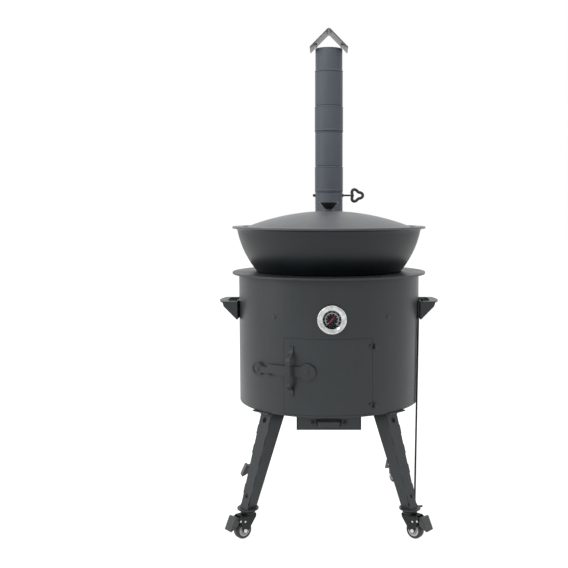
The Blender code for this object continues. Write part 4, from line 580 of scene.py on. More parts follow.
def caster_piece(name, bm, corner, body, look, replaces=(), ease=0.0):
    """Swings a caster's piece to its trail and puts it under its leg."""
    tilted(bm, "Z", TRAILS[corner])
    turn = math.radians(LEG_TURNS[corner])
    moved(bm, STEM_OUT * math.sin(turn), AXIS_Y - STEM_OUT * math.cos(turn))
    piece(f"{name}_{corner}", bm, f"{body}_{corner}", look, replaces, ease=ease)


for corner in TRAILS:
    tyre = turned(((0.0146, -0.0095, 0.0006), (0.0188, -0.0095, 0.0016), (0.0210, -0.0062, 0.0020),
                   (0.0210, 0.0062, 0.0020), (0.0188, 0.0095, 0.0016), (0.0146, 0.0095, 0.0006),
                   (0.0138, 0.0070), (0.0138, -0.0070)), 64, True)
    caster_piece("tyre", on_axle(tyre), corner, "wheel", TYRE_RUBBER, [f"caster_wheel_{corner}"])
    hub = turned(((0.0033, -0.0086, 0.0004), (0.0056, -0.0086, 0.0004), (0.0064, -0.0045, 0.0008),
                  (0.0100, -0.0045, 0.0008), (0.0110, -0.0088, 0.0006),
                  (0.0144, -0.0090, 0.0006), (0.0144, 0.0090, 0.0006), (0.0110, 0.0088, 0.0006),
                  (0.0100, 0.0045, 0.0008), (0.0064, 0.0045, 0.0008), (0.0056, 0.0086, 0.0004),
                  (0.0033, 0.0086, 0.0004)), 56, True)
    caster_piece("hub", on_axle(hub), corner, "wheel", HUB_NYLON)

    cheek = ((0.0153, 0.0580, 0.0015), (0.0153, 0.0500, 0.003), (0.0060, 0.0380, 0.006),
             (-0.0095, 0.0170, 0.005), (-0.0170, 0.0140, 0.004), (-0.0232, 0.0195, 0.004),
             (-0.0268, 0.0380, 0.003), (-0.0332, 0.0470, 0.002), (-0.0332, 0.0545, 0.002),
             (-0.0268, 0.0580, 0.001))
    cheeks = merged(across(cheek, -FORK_HALF, -FORK_HALF + 0.002),
                    across(cheek, FORK_HALF - 0.002, FORK_HALF))
    roof = across(((0.0153, 0.0545, 0.001), (0.0153, 0.0581, 0.001), (-0.0266, 0.0581, 0.001),
                   (-0.0266, 0.0545, 0.001)), -FORK_HALF, FORK_HALF)
    race = turned(((0, 0.0570), (0.0140, 0.0570), (0.0172, 0.0600, 0.001), (0.0180, 0.0625, 0.001),
                   (0.0168, 0.0638, 0.0005), (0.0168, 0.0646, 0.0005), (0.0180, 0.0656, 0.001),
                   (0.0176, 0.0680, 0.001), (0.0140, 0.0685), (0.0050, 0.0685),
                   (0.0050, 0.0778, 0.0008), (0, 0.0778)), 48)
    caster_piece("fork", merged(cheeks, roof, race), corner, "caster", FORK_STEEL,
                 [f"caster_fork_{corner}"], 0.0004)
    bolt = turned(((0, -0.0153), (0.0042, -0.0153, 0.0010), (0.0050, -0.0133), (0.0030, -0.0133),
                   (0.0030, 0.0133), (0.0050, 0.0133), (0.0042, 0.0153, 0.0010), (0, 0.0153)), 32)
    caster_piece("axle", on_axle(bolt), corner, "caster", ZINC_PLATE, [f"caster_axle_{corner}"])
    heads = []
    for spot in ((-0.0295, 0.0470), (-0.0165, 0.0435)):
        for way in (-90, 90):
            head = tilted(domed_head(FORK_HALF, 0.0024, 0.0010), "Y", way)
            heads.append(moved(head, y=spot[0], z=spot[1]))
    caster_piece("fork_rivets", merged(*heads), corner, "caster", ZINC_PLATE)

    barrel = turned(((0, -0.0099), (0.0029, -0.0099, 0.0004), (0.0029, 0.0099, 0.0004),
                     (0, 0.0099)), 28)
    pivot = turned(((0, -0.0128), (0.0014, -0.0128), (0.0014, 0.0128), (0, 0.0128)), 20)
    neck = across(((0.0010, 0.0028), (-0.0118, 0.0084, 0.001), (-0.0148, 0.0084, 0.001),
                   (-0.0180, 0.0020), (-0.0118, 0.0020, 0.002), (-0.0040, -0.0026)),
                  -0.0099, 0.0099)
    tread = across(((-0.0090, 0.0072, 0.001), (-0.0118, 0.0085, 0.001), (-0.0150, 0.0085, 0.002),
                    (-0.0290, -0.0225, 0.002), (-0.0262, -0.0238, 0.001),
                    (-0.0122, 0.0040, 0.002)), -0.0129, 0.0129)
    shoe = across(((0.0010, -0.0015), (-0.0040, -0.0026), (0.0021, -0.0112, 0.001),
                   (0.0073, -0.0087, 0.001)), -0.0080, 0.0080)
    web = ((-0.0120, 0.0035), (-0.0055, -0.0020, 0.001), (-0.0060, -0.0130, 0.003),
           (-0.0255, -0.0232), (-0.0240, -0.0180))
    webs = merged(across(web, -0.0129, -0.0112), across(web, 0.0112, 0.0129))
    pedal = merged(tilted(merged(barrel, pivot), "Y", 90), neck, tread, shoe, webs)
    caster_piece("pedal", moved(pedal, y=-0.030, z=0.0508), corner, "pedal", PEDAL_NYLON,
                 [f"caster_brake_pedal_{corner}"], 0.0006)


# Ash drawer: a folded tray that slides in a folded housing under the drum. Its grip is a bent
# strap held by two blackened pan head bolts.
own_mesh("drawer_housing", HEAT_PAINT, 0.0004)
own_mesh("ash_drawer", HEAT_PAINT, 0.0004)
DRAWER_FRONT = -0.25375
GRIP_HEIGHT = 0.2803
BOLT_OUT = 0.038


def folded_strap(points, width):
    """The middle face of a strap bent along (x, z) points, its width along Y."""
    bm = traced(points)
    drawn_out(bm, bmesh.ops.extrude_edge_only(bm, edges=bm.edges[:]), (0, width, 0))
    return moved(bm, y=-width / 2)


grip = folded_strap(((-0.046, 0.0013), (-0.030, 0.0013, 0.003), (-0.023, 0.0190, 0.004),
                     (0.023, 0.0190, 0.004), (0.030, 0.0013, 0.003), (0.046, 0.0013)), 0.012)
moved(tilted(grip, "X", 90), y=DRAWER_FRONT, z=GRIP_HEIGHT)
piece("strap_grip", grip, "drawer", HEAT_PAINT, ["drawer_grip"], wall=0.002, side=0.0,
      ease=0.0004)


def hexagon_nut(radius, height, foot):
    """A hexagon nut with its corners at a radius, standing on foot."""
    bm = bmesh.new()
    bmesh.ops.create_circle(bm, cap_ends=True, segments=6, radius=radius)
    drawn_out(bm, bmesh.ops.extrude_face_region(bm, geom=bm.faces[:]), (0, 0, height))
    return moved(bm, z=foot)


for side, x in (("left", -BOLT_OUT), ("right", BOLT_OUT)):
    head = domed_head(0.0026, 0.0042, 0.0026, 0)
    shank = turned(((0, -0.0060), (0.0020, -0.0060), (0.0020, 0.0030), (0, 0.0030)), 20)
    bolt = tilted(merged(head, hexagon_nut(0.0045, 0.0028, -0.0056), shank), "X", 90)
    moved(bolt, x=x, y=DRAWER_FRONT, z=GRIP_HEIGHT)
    piece(f"pan_bolt_{side}", bolt, "drawer", FORK_STEEL, [f"drawer_bolt_{side}"])


# Fire door: the piece cut from the wall's doorway, hung on two pin hinges at its right, whose
# pins and sleeves are short turned barrels welded on by small leaves.
DOOR_CLEAR_TURN = 0.09
DOOR_CLEAR = 0.0005
door = rolled_sheet((DOOR_TURNS[0] + DOOR_CLEAR_TURN, DOOR_TURNS[1] - DOOR_CLEAR_TURN),
                    (DOOR_HEIGHTS[0] + DOOR_CLEAR, DOOR_HEIGHTS[1] - DOOR_CLEAR))
piece("door_skin", door, "door", HEAT_PAINT, ["door_panel"], wall=DRUM_WALL, ease=0.0003)
for level in ("upper", "lower"):
    own_mesh(f"hinge_pin_{level}", HEAT_PAINT, 0.0003)
    own_mesh(f"hinge_sleeve_{level}", HEAT_PAINT, 0.0003)


# Door pull: a bent strap of 2.8 mm steel, welded on upright by its two feet near the latch and
# sprayed with the door.
PULL_HALF = 0.059
PULL_TURN = -22.3
PULL_HEIGHT = 0.406
FOOT_OUT = DRUM_RADIUS + 0.0017
BOW_OUT = FOOT_OUT + 0.020
strap = folded_strap(((-PULL_HALF, FOOT_OUT), (-0.045, FOOT_OUT, 0.006), (-0.031, BOW_OUT, 0.007),
                      (0.031, BOW_OUT, 0.007), (0.045, FOOT_OUT, 0.006), (PULL_HALF, FOOT_OUT)),
                     0.0115)
pull = on_drum(tilted(strap, "Z", 90), PULL_TURN, PULL_HEIGHT)
piece("strap_pull", pull, "door", HEAT_PAINT, ["door_pull"], wall=0.0028, side=0.0, ease=0.0005)


# Latch: a flat bar cut from 3 mm plate with a round-cornered blade at its pivot and a finger ring
# at its end, rolled to the drum as far as its keeper and straight beyond. It turns on a rivet
# through the door and drops on to a folded keeper.
LATCH_TURN = -12.8
LATCH_HEIGHT = 0.4066
LATCH_INSIDE = DRUM_RADIUS + 0.003
LATCH_WALL = 0.003
RING_CENTRE = (-0.138, -0.004)
RING_OUTER = 0.016
BEND_END = 0.0990
BEND_CUTS = 38
BEND_START = 0.020
BEND_PITCH = 0.0035
blade = [(0.0230, 0, 0.007), (0.0195, -0.0100, 0.004), (0, -0.0235, 0.010)]
lower = [(-0.0165, -0.0115, 0.003), (-0.1035, -0.0115, 0.002)]
arc_from, arc_to = 28, 332
ring_edge = [(RING_CENTRE[0] + RING_OUTER * math.cos(math.radians(a)),
              RING_CENTRE[1] + RING_OUTER * math.sin(math.radians(a)))
             for a in range(arc_to, arc_from - 1, -8)]
upper = [(-0.1060, 0.0036, 0.002), (-0.1035, 0.0115, 0.003), (-0.0165, 0.0115, 0.003)]
outline = blade + lower + [(-0.1070, -0.0115, 0.002)] + ring_edge + upper
outline += [(0, 0.0235, 0.010), (0.0195, 0.0100, 0.004)]
bar = traced(outline, True)
for x, z, radius in ((*RING_CENTRE, 0.0104), (0, 0, 0.0032)):
    loop = bmesh.new()
    bmesh.ops.create_circle(loop, segments=40, radius=radius)
    bar = merged(bar, moved(tilted(loop, "X", 90), x=x, z=z))
bmesh.ops.triangle_fill(bar, edges=bar.edges, use_beauty=True)
for k in range(BEND_CUTS):
    scored(bar, (BEND_START - BEND_PITCH * k, 0, 0), (1, 0, 0))
bmesh.ops.recalc_face_normals(bar, faces=bar.faces)
if bar.faces[:][0].normal.y > 0:
    bmesh.ops.reverse_faces(bar, faces=bar.faces)
latch_out = LATCH_INSIDE + LATCH_WALL
for vert in bar.verts:
    run = -vert.co.x
    bend = min(run, BEND_END) / (latch_out - LATCH_WALL / 2)
    aim = Vector((-math.sin(bend), -math.cos(bend), 0)) * latch_out
    past = Vector((-math.cos(bend), math.sin(bend), 0)) * max(run - BEND_END, 0)
    vert.co = aim + past + Vector((0, 0, vert.co.z + LATCH_HEIGHT))
moved(tilted(bar, "Z", LATCH_TURN), y=AXIS_Y)
piece("drop_bar", bar, "latch", HEAT_PAINT, ["latch_bar"], wall=LATCH_WALL, ease=0.0004)

head_out = latch_out + 0.0003
pivot = merged(
    turned(((0, 0.2240), (0.0052, 0.2245), (0.0055, 0.2262), (0.0030, 0.2262), (0.0030, head_out),
            (0, head_out)), 28),
    turned(((0.0030, 0.2304), (0.0055, 0.2304), (0.0055, 0.2326), (0.0030, 0.2326)), 28, True),
    domed_head(head_out, 0.0056, 0.0016, 0.0002),
)
piece("pivot_rivet", on_drum(pivot, LATCH_TURN, LATCH_HEIGHT), "door", HEAT_PAINT,
      ["latch_rivet"])
own_mesh("latch_keeper", HEAT_PAINT, 0.0003)


# Thermometer: a bimetal dial gauge in a pressed and polished stainless case, with a black dial
# printed in white, a red needle and a glass held by the bezel. Its stem goes through the wall to
# a hexagon nut inside.
GAUGE_TURN = 1.75
GAUGE_HEIGHT = 0.5305
GAUGE_BACK = 0.2303
GAUGE_FRONT = GAUGE_BACK + 0.012
SCALE_SWEEP = 270
SCALE_MARKS = 40
NUMBER_STEP = 50
NUMBERS = 8
NUMBER_OUT = 0.0188
NUMBER_SIZE = 0.0040
NEEDLE_COLD = -220
STAINLESS = finish("polished_stainless", "stainless", WORKED_METAL, (0.40, 0.405, 0.410),
                   (0.64, 0.645, 0.645), ("Patches", "Lines", (0.48, 0.48, 0.485, 0.2)),
                   (0.07, 0.13), metallic=1.0)
DIAL_BLACK = finish("dial_black", "dial_black", MOULDED_SKIN, (0.006, 0.007, 0.010),
                    (0.010, 0.011, 0.015), ("Dust", "Dust", (0.02, 0.02, 0.022, 0.2)),
                    (0.45, 0.60), gloss=0.2)
DIAL_WHITE = finish("dial_white_print", "dial_black", MOULDED_SKIN, (0.78, 0.79, 0.81),
                    (0.86, 0.87, 0.89), ("Dust", "Dust", (0.65, 0.65, 0.66, 0.2)), (0.45, 0.60))
NEEDLE_RED = finish("needle_red", "needle_red", MOULDED_SKIN, (0.72, 0.030, 0.085),
                    (0.80, 0.045, 0.110), ("Dust", "Dust", (0.6, 0.08, 0.12, 0.2)),
                    (0.35, 0.50))


def gauge_piece(name, bm, look, replaces=(), body="stove"):
    """A piece drawn about the gauge's own middle, with +Z out of the drum."""
    return piece(name, on_drum(bm, GAUGE_TURN, GAUGE_HEIGHT), body, look, replaces, sharp=50)


case = turned((
    (0, GAUGE_BACK - 0.0453), (0.0026, GAUGE_BACK - 0.0450), (0.0030, GAUGE_BACK - 0.044),
    (0.0030, GAUGE_BACK - 0.002), (0.0060, GAUGE_BACK), (0.0350, GAUGE_BACK, 0.0010),
    (0.0350, GAUGE_FRONT - 0.0040, 0.0020), (0.0318, GAUGE_FRONT, 0.0022),
    (0.0268, GAUGE_FRONT - 0.0004, 0.0016), (0.0236, GAUGE_FRONT - 0.0026, 0.0008),
    (0.0216, GAUGE_FRONT - 0.0034, 0.0004), (0.0216, GAUGE_FRONT - 0.0044),
    (0.0255, GAUGE_FRONT - 0.0044), (0.0255, GAUGE_BACK + 0.0022), (0, GAUGE_BACK + 0.0022),
), 96)
gauge_piece("gauge_case", case, STAINLESS, ["thermometer_case"])

DIAL_FACE = GAUGE_BACK + 0.0032
disc = turned(((0, DIAL_FACE - 0.0007), (0.0252, DIAL_FACE - 0.0007, 0.0001),
               (0.0252, DIAL_FACE, 0.0001), (0, DIAL_FACE)), 72)
gauge_piece("gauge_dial", disc, DIAL_BLACK, ["thermometer_dial"])


def printed(low, high, half_low, half_high, degrees):
    """A printed mark on the dial, from low to high along its radius."""
    mark = cut_plate(((-half_low, low), (half_low, low), (half_high, high), (-half_high, high)),
                     0, 0.00006)
    return moved(tilted(tilted(mark, "X", -90), "Z", -degrees), z=DIAL_FACE + 0.0001)


marks = []
for low, high in ((0.0146, 0.0164), (0.0207, 0.0211)):
    band = tilted(traced(((low, 0), (high, 0))), "Z", 90 - SCALE_SWEEP / 2)
    marks.append(moved(spun(band, SCALE_SWEEP, 72), z=DIAL_FACE + 0.0001))
for k in range(SCALE_MARKS + 1):
    degrees = SCALE_SWEEP * (k / SCALE_MARKS - 0.5)
    if k % 5:
        marks.append(printed(0.0134, 0.0146, 0.00014, 0.00014, degrees))
    else:
        marks.append(printed(0.0112, 0.0146, 0.00050, 0.00070, degrees))
for k in range(NUMBERS + 1):
    digits = bpy.data.curves.new("digits", "FONT")
    digits.body = str(NUMBER_STEP * k)
    digits.size = NUMBER_SIZE
    digits.align_x = "CENTER"
    digits.align_y = "CENTER"
    digits.extrude = 0.00003
    turn = math.radians(SCALE_SWEEP * (k / NUMBERS - 0.5))
    marks.append(moved(meshed(digits), NUMBER_OUT * math.sin(turn), NUMBER_OUT * math.cos(turn),
                       DIAL_FACE + 0.00014))
gauge_piece("gauge_scale", merged(*marks), DIAL_WHITE)

pointer = cut_plate(((-0.0010, -0.0078), (0.0010, -0.0078), (0.0013, -0.0030), (0.0011, 0.0078),
                     (0.0003, 0.0115), (0.0002, 0.0160), (-0.0002, 0.0160), (-0.0003, 0.0115),
                     (-0.0011, 0.0078), (-0.0013, -0.0030)), 0, 0.0006)
tilted(tilted(pointer, "X", -90), "Z", NEEDLE_COLD)
boss = domed_head(0.0006, 0.0018, 0.0008)
needle = moved(merged(pointer, boss), z=DIAL_FACE + 0.0006)
gauge_piece("gauge_needle", needle, NEEDLE_RED, ["thermometer_needle"], "needle")

GAUGE_GLASS = finish("gauge_glass", "clear_glass", MOULDED_SKIN, (0.02, 0.02, 0.02),
                     (0.03, 0.03, 0.03), ("Dust", "Dust", (0.06, 0.06, 0.06, 0.2)), (0.03, 0.05))
glass_shader = GAUGE_GLASS["material"].node_tree.nodes["Principled BSDF"]
glass_shader.inputs["Alpha"].default_value = 0.06
PANE = GAUGE_FRONT - 0.0047
glass = turned(((0, PANE - 0.0019), (0.0250, PANE - 0.0019), (0.0250, PANE - 0.0013, 0.0003),
                (0.0180, PANE - 0.0006, 0.002), (0.0080, PANE - 0.0001, 0.002), (0, PANE)), 72)
gauge_piece("gauge_glass_pane", glass, GAUGE_GLASS, ["thermometer_glass"])
own_mesh("thermometer_nut", ZINC_PLATE, 0.0003)


# Cauldron: a round-bottomed bowl cast in iron, coated in a satin black that looks grey where its
# steep sides reflect what is round it. Its thickened rim takes a paler copy of the bowl's iron, a
# painted highlight for the light its top edge catches, and the bowl stands loose in the flange's
# bevel.
BOWL_IRON = finish("coated_bowl_iron", "bowl_iron", SAND_CASTING, (0.002, 0.0050, 0.0062),
                   (0.006, 0.0105, 0.0125), ("Tone", "Pits", (0.002, 0.003, 0.003, 0.5)),
                   (0.40, 0.48), gloss=0.42)
BOWL_CENTRE = 0.776946
BOWL_RADIUS = 0.2377
BOWL_INSIDE = 0.2322
RIM_TOP = 0.741296
RIM_EDGE = 0.2460
SEAT_DEPTH = 0.0095


def arc_points(centre, radius, start, end, steps):
    """Points on a circle of a profile, angles in degrees from +X."""
    turns = [math.radians(start + (end - start) * k / steps) for k in range(steps + 1)]
    return [(centre[0] + radius * math.cos(a), centre[1] + radius * math.sin(a)) for a in turns]


neck_turn = -math.degrees(math.asin((BOWL_CENTRE - RIM_TOP + SEAT_DEPTH) / BOWL_RADIUS))
outer = arc_points((0, BOWL_CENTRE), BOWL_RADIUS, -90, neck_turn, 40)
seat = RIM_TOP - SEAT_DEPTH
lip = [(outer[-1][0] + 0.0030, RIM_TOP - 0.0066, 0.0015), (RIM_EDGE, RIM_TOP - 0.0056, 0.0015),
       (RIM_EDGE, RIM_TOP, 0.0024), (0.222, RIM_TOP, 0.0012), (0.222, seat, 0.0010),
       (0.2130, seat, 0.0015), (0.2115, seat - 0.008, 0.002)]
inner_top = -math.degrees(math.asin((BOWL_CENTRE - seat + 0.020) / BOWL_INSIDE))
inner = arc_points((0, BOWL_CENTRE), BOWL_INSIDE, inner_top, -90, 36)
outer[0] = (0, outer[0][1])
inner[-1] = (0, inner[-1][1])
bowl = moved(turned(outer + lip + inner, 160), y=AXIS_Y)
cast = piece("cast_bowl", bowl, "pot", BOWL_IRON, ["cauldron"], sharp=50)
# A paler copy of the bowl's iron: painted highlight on the rim, where it catches the light from
# above.
RIM_PAINTED_HIGHLIGHT = finish("bowl_iron_painted_rim_highlight", "bowl_iron", SAND_CASTING, (0.085, 0.092, 0.100),
                  (0.110, 0.118, 0.127), ("Tone", "Pits", (0.04, 0.043, 0.046, 0.4)),
                  (0.30, 0.42))
# The rim's top faces take the painted highlight.
cast.data.materials.append(RIM_PAINTED_HIGHLIGHT["material"])
for face in cast.data.polygons:
    if face.center.z > RIM_TOP - 0.0064:
        face.material_index = 1


# Lid and knob: a shallow dome cast to drop inside the rim, in a paler coating that shines where
# it is seen along its surface, and a turned black knob held by a screw from above.
LID_PAINT = finish("lid_coating", "lid_paint", SPRAYED_COATING, (0.070, 0.075, 0.082),
                   (0.086, 0.092, 0.100), ("Tone", "Dust", (0.15, 0.156, 0.166, 0.3)),
                   (0.40, 0.50), gloss=0.5)
lid_shader = LID_PAINT["material"].node_tree.nodes["Principled BSDF"]
lid_shader.inputs["Coat Weight"].default_value = 0.25
lid_shader.inputs["Coat Roughness"].default_value = 0.25
KNOB_BLACK = finish("phenolic_knob", "knob_plastic", MOULDED_SKIN, (0.008, 0.008, 0.009),
                    (0.012, 0.012, 0.013), ("Dust", "Dust", (0.04, 0.04, 0.042, 0.25)),
                    (0.28, 0.42))
LID_BOTTOM = 0.732096
DOME = 0.570
DOME_INSIDE = 0.566
dome_middle = LID_BOTTOM + 0.0034 - math.sqrt(DOME ** 2 - 0.220 ** 2)
top = arc_points((0, dome_middle), DOME, 90, math.degrees(math.acos(0.2155 / DOME)), 40)
under = arc_points((0, dome_middle), DOME_INSIDE,
                   math.degrees(math.acos(0.212 / DOME_INSIDE)), 90, 36)
top[0] = (0, top[0][1])
under[-1] = (0, under[-1][1])
edge = [(0.2196, LID_BOTTOM + 0.0042, 0.001), (0.2198, LID_BOTTOM, 0.001),
        (0.2135, LID_BOTTOM, 0.001)]
spun_lid = moved(turned(top + edge + under, 160), y=AXIS_Y)
piece("spun_lid", spun_lid, "pot_lid", LID_PAINT, ["lid"], sharp=50)
foot = dome_middle + DOME + 0.0003
knob = turned((
    (0, foot), (0.0112, foot), (0.0112, foot + 0.0030, 0.0008), (0.0100, foot + 0.0045, 0.001),
    (0.0118, foot + 0.0065, 0.001), (0.0225, foot + 0.0180, 0.002), (0.0243, foot + 0.0206, 0.001),
    (0.0240, foot + 0.0226, 0.001), (0.0200, foot + 0.0233, 0.001), (0.0060, foot + 0.0233, 0.0004),
    (0.0055, foot + 0.0222), (0, foot + 0.0222),
), 72)
piece("turned_knob", moved(knob, y=AXIS_Y), "pot_lid", KNOB_BLACK, ["lid_knob"])
screw = domed_head(foot + 0.0222, 0.0044, 0.0008)
piece("knob_screw", moved(screw, y=AXIS_Y), "pot_lid", ZINC_PLATE)


# Chimney: three pipes rolled from 1.5 mm sheet with a lapped seam at the back. Each is swaged
# wide over the one below, necked at its top, and has a rolled bead at every change of width.
PIPE_PAINT = finish("flue_pipe_paint", "pipe_paint", SPRAYED_COATING, (0.126, 0.141, 0.164),
                    (0.152, 0.169, 0.195), ("Tone", "Specks", (0.22, 0.236, 0.257, 0.8)),
                    (0.36, 0.46), metallic=0.08, gloss=0.12, Speck_Share=0.25)
CHIMNEY_FOOT = 0.6643
PIPE_PITCH = 0.1723
WAIST_RISE = 0.071
NECK_RISE = 0.101
SPIGOT = 0.061
for k, name in enumerate(("lower", "middle", "upper")):
    foot = CHIMNEY_FOOT + k * PIPE_PITCH
    waist = foot + WAIST_RISE
    shoulder = waist + NECK_RISE
    pipe = turned((
        (0.0414, foot, 0.0004), (0.0414, foot + 0.0034, 0.0010), (0.0405, foot + 0.0046, 0.0006),
        (0.0409, foot + 0.0060, 0.0006), (0.0409, waist - 0.0046, 0.0006),
        (0.0415, waist - 0.0034, 0.0008), (0.0414, waist - 0.0016, 0.0006),
        (0.0387, waist - 0.0006, 0.0003), (0.0387, waist + 0.0006, 0.0003),
        (0.0400, waist + 0.0018, 0.0006),
        (0.0400, shoulder - 0.0066, 0.0006), (0.0391, shoulder - 0.0056, 0.0003),
        (0.0391, shoulder - 0.0046, 0.0003), (0.0407, shoulder - 0.0034, 0.0006),
        (0.0407, shoulder - 0.0014, 0.0008), (0.0389, shoulder, 0.0006),
        (0.0389, shoulder + SPIGOT, 0.0003), (0.0374, shoulder + SPIGOT, 0.0003),
        (0.0374, waist, 0.0006), (0.0394, waist - 0.003, 0.0006), (0.0394, foot, 0.0004),
    ), 96, True)
    piece(f"flue_pipe_{name}", moved(pipe, y=CHIMNEY_Y), f"pipe_{name}", PIPE_PAINT,
          [f"chimney_{name}"], sharp=30)
    lap = [(0.004, CHIMNEY_Y + out, foot + rise) for out, rise in (
        (0.0410, 0.006), (0.0410, 0.064), (0.0400, 0.075), (0.0400, 0.165))]
    piece(f"pipe_seam_{name}", bar_along(lap, 0.0006, smooth=False), f"pipe_{name}", PIPE_PAINT)


# Rain cap: a strip of sheet bent to a small roof with a rounded crest, and two tabs welded under
# it that spring into the top pipe.
ROOF_STEEL = finish("rain_roof_steel", "pipe_paint", WORKED_METAL, (0.10, 0.10, 0.108),
                    (0.22, 0.22, 0.235), ("Patches", "Lines", (0.05, 0.05, 0.055, 0.3)),
                    (0.30, 0.42), metallic=0.4)
PIPE_END = CHIMNEY_FOOT + 3 * PIPE_PITCH - 0.0003 + SPIGOT
ROOF_HALF = 0.0540
ROOF_EAVES = PIPE_END - 0.002
ROOF_LENGTH = 0.0915
TAB_HALF = 0.010
roof = folded_strap(((-ROOF_HALF, ROOF_EAVES), (0, PIPE_END + 0.0519, 0.006),
                     (ROOF_HALF, ROOF_EAVES)), ROOF_LENGTH)
piece("rain_roof", moved(roof, y=CHIMNEY_Y), "cap", ROOF_STEEL, ["rain_cap"], wall=0.003,
      side=0.0, ease=0.0006)
for side, x in (("left", -1), ("right", 1)):
    tab = across(((-TAB_HALF, PIPE_END - 0.024, 0.002), (TAB_HALF, PIPE_END - 0.024, 0.002),
                  (TAB_HALF, PIPE_END + 0.014), (-TAB_HALF, PIPE_END + 0.014)), 0.0336, 0.0356)
    tab = tilted(tab, "Z", 90 - 90 * x)
    piece(f"cap_tab_{side}", moved(tab, y=CHIMNEY_Y), "cap", ROOF_STEEL, ease=0.0004)


# Damper: a round plate on a rod through the lower pipe, turned by a three-lobed key of flattened
# bar outside, with a washer, and a hexagon nut at the far end.
DAMPER_HEIGHT = 0.8243
PIPE_OUT = 0.0403
LOBES = 3
LOBE_MEAN = 0.0150
LOBE_SWING = 0.0038
LOOP_STEPS = 72
own_mesh("damper_plate", FORK_STEEL, 0.0003)
rod = turned(((0, -0.0469), (0.0022, -0.0469, 0.0004), (0.0022, PIPE_OUT + 0.0016),
              (0.0027, PIPE_OUT + 0.0020, 0.0003), (0.0027, 0.0700), (0, 0.0700)), 24)
collar = turned(((0.0022, PIPE_OUT), (0.0065, PIPE_OUT, 0.0003), (0.0062, PIPE_OUT + 0.0010),
                 (0.0050, PIPE_OUT + 0.0019, 0.0003), (0.0022, PIPE_OUT + 0.0019)), 32, True)
path = []
for k in range(LOOP_STEPS):
    a = math.tau * k / LOOP_STEPS
    out = LOBE_MEAN + LOBE_SWING * math.cos(LOBES * a)
    path.append((out * math.cos(a), 0, out * math.sin(a)))
loop = bar_along(path, 0.0044, True, smooth=False)
bmesh.ops.scale(loop, vec=(1, 0.55, 1), verts=loop.verts)
key = merged(tilted(merged(rod, collar), "Y", 90), moved(loop, x=0.0802))
piece("throttle_key", moved(key, y=CHIMNEY_Y, z=DAMPER_HEIGHT), "damper", HEAT_PAINT,
      ["damper_key"])
washer = turned(((0.0025, PIPE_OUT + 0.0003), (0.0065, PIPE_OUT + 0.0003, 0.0003),
                 (0.0065, PIPE_OUT + 0.0013, 0.0003), (0.0025, PIPE_OUT + 0.0013)), 32, True)
nut = hexagon_nut(0.0043, 0.005, PIPE_OUT + 0.0013)
fixing = tilted(merged(washer, nut), "Y", -90)
piece("throttle_nut", moved(fixing, y=CHIMNEY_Y, z=DAMPER_HEIGHT), "damper", FORK_STEEL,
      ["damper_nut"])


# Poker: a 5 mm round bar bent over the front edge of the right handle, hanging down beside the
# drum to a short bent foot just above the floor.
POKER_BASE = Vector((0.22514, AXIS_Y - 0.060, 0.5560))
POKER_DROP = 0.5205
LEAN_SIDE = 0.87
LEAN_BACK = 2.9
POKER_RADIUS = 0.0025
hook = Vector((0.01116, 0.0177, 0))
path = [hook - Vector((0, 0, 0.014)), hook - Vector((0, 0, 0.006))]
for k in range(9):
    a = math.pi * k / 8
    path.append(hook * (1 + math.cos(a)) / 2 + Vector((0, 0, 0.006 * math.sin(a))))
lean = Vector((-math.tan(math.radians(LEAN_SIDE)), -math.tan(math.radians(LEAN_BACK)), -1))
heel = lean * POKER_DROP
path += [heel * (k / 8) for k in range(1, 8)]
path += [heel * 0.993, heel + Vector((0.0004, 0, -0.0004)), heel + Vector((0.004, 0, -0.0009)),
         heel + Vector((0.012, 0, -0.0010)), heel + Vector((0.020, 0, -0.0010))]
poker = bar_along([POKER_BASE + point for point in path], POKER_RADIUS)
piece("hook_poker", poker, "poker_bar", FORK_STEEL, ["poker"])


# Studio: a pale floor that keeps the object's shadow, a white surround, four soft lamps and the
# photograph's camera.
def seen_white(tree):
    """One where the camera, a reflection or a view through glass meets this surface."""
    ray = tree.nodes.new("ShaderNodeLightPath")
    direct = calc(tree, "MAXIMUM", ray.outputs["Is Camera Ray"], ray.outputs["Is Glossy Ray"])
    return calc(tree, "MAXIMUM", direct, ray.outputs["Is Transmission Ray"])


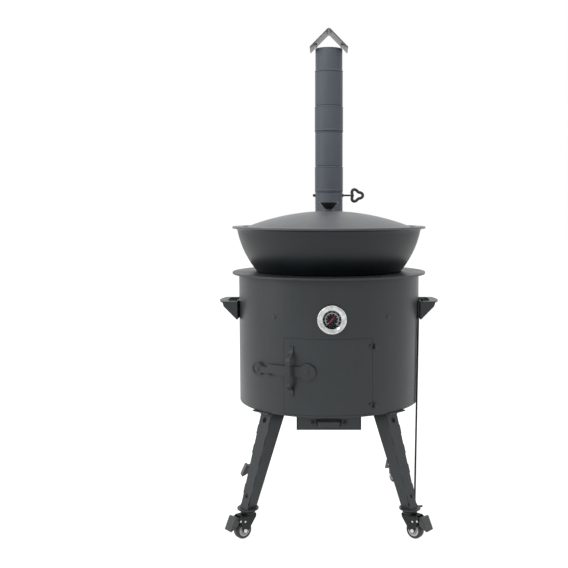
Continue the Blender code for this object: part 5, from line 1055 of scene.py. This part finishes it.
floor_shape = bmesh.new()
bmesh.ops.create_grid(floor_shape, x_segments=8, y_segments=8, size=12)
floor_mesh = bpy.data.meshes.new("floor")
floor_shape.to_mesh(floor_mesh)
floor_shape.free()
floor = bpy.data.objects.new("floor", floor_mesh)
bpy.context.scene.collection.objects.link(floor)
floor_white = bpy.data.materials.new("floor_white")
floor_white.use_nodes = True
tree = floor_white.node_tree
shader = tree.nodes["Principled BSDF"]
shader.inputs["Base Color"].default_value = (0.55, 0.55, 0.55, 1)
shader.inputs["Roughness"].default_value = 0.9
shader.inputs["Specular IOR Level"].default_value = 0.1
shader.inputs["Emission Color"].default_value = (1, 1, 1, 1)
tree.links.new(calc(tree, "MULTIPLY", seen_white(tree), 0.86), shader.inputs["Emission Strength"])
floor_mesh.materials.append(floor_white)

world = bpy.data.worlds.new("studio")
bpy.context.scene.world = world
world.use_nodes = True
tree = world.node_tree
background = tree.nodes["Background"]
background.inputs["Color"].default_value = (1, 1, 1, 1)
tree.links.new(calc(tree, "MAXIMUM", seen_white(tree), 0.38), background.inputs["Strength"])


def softbox(name, place, target, size, power):
    """A soft rectangular lamp aimed at a point."""
    data = bpy.data.lights.new(name, "AREA")
    data.shape = "RECTANGLE"
    data.size, data.size_y = size
    data.energy = power
    made = bpy.data.objects.new(name, data)
    made.location = place
    aim = Vector(target) - Vector(place)
    made.rotation_euler = aim.to_track_quat("-Z", "Y").to_euler()
    bpy.context.scene.collection.objects.link(made)


softbox("top_softbox", (0, -0.2, 3.2), (0, 0, 0.7), (2.2, 2.2), 34)
softbox("left_softbox", (-2.6, -1.0, 1.5), (0, 0, 0.6), (1.4, 2.0), 18)
softbox("front_softbox", (-1.8, -2.6, 2.7), (0, -0.2, 0.55), (0.9, 0.9), 16)
softbox("right_softbox", (2.6, -0.8, 1.4), (0, 0, 0.6), (1.2, 2.0), 3)

CAMERA_DISTANCE = 2.1262
CAMERA_HEIGHT = 0.784
CAMERA_DIP = 0.09
camera_data = bpy.data.cameras.new("camera")
camera_data.sensor_width = 36
camera_data.lens = 52.48
camera_data.shift_x = -0.07905
camera_data.clip_end = 60
camera = bpy.data.objects.new("camera", camera_data)
camera.location = (0, AXIS_Y - CAMERA_DISTANCE, CAMERA_HEIGHT)
camera.rotation_euler = (math.pi / 2 - CAMERA_DIP, 0, 0)
bpy.context.scene.collection.objects.link(camera)
bpy.context.scene.camera = camera
bpy.context.scene.view_settings.view_transform = "Standard"
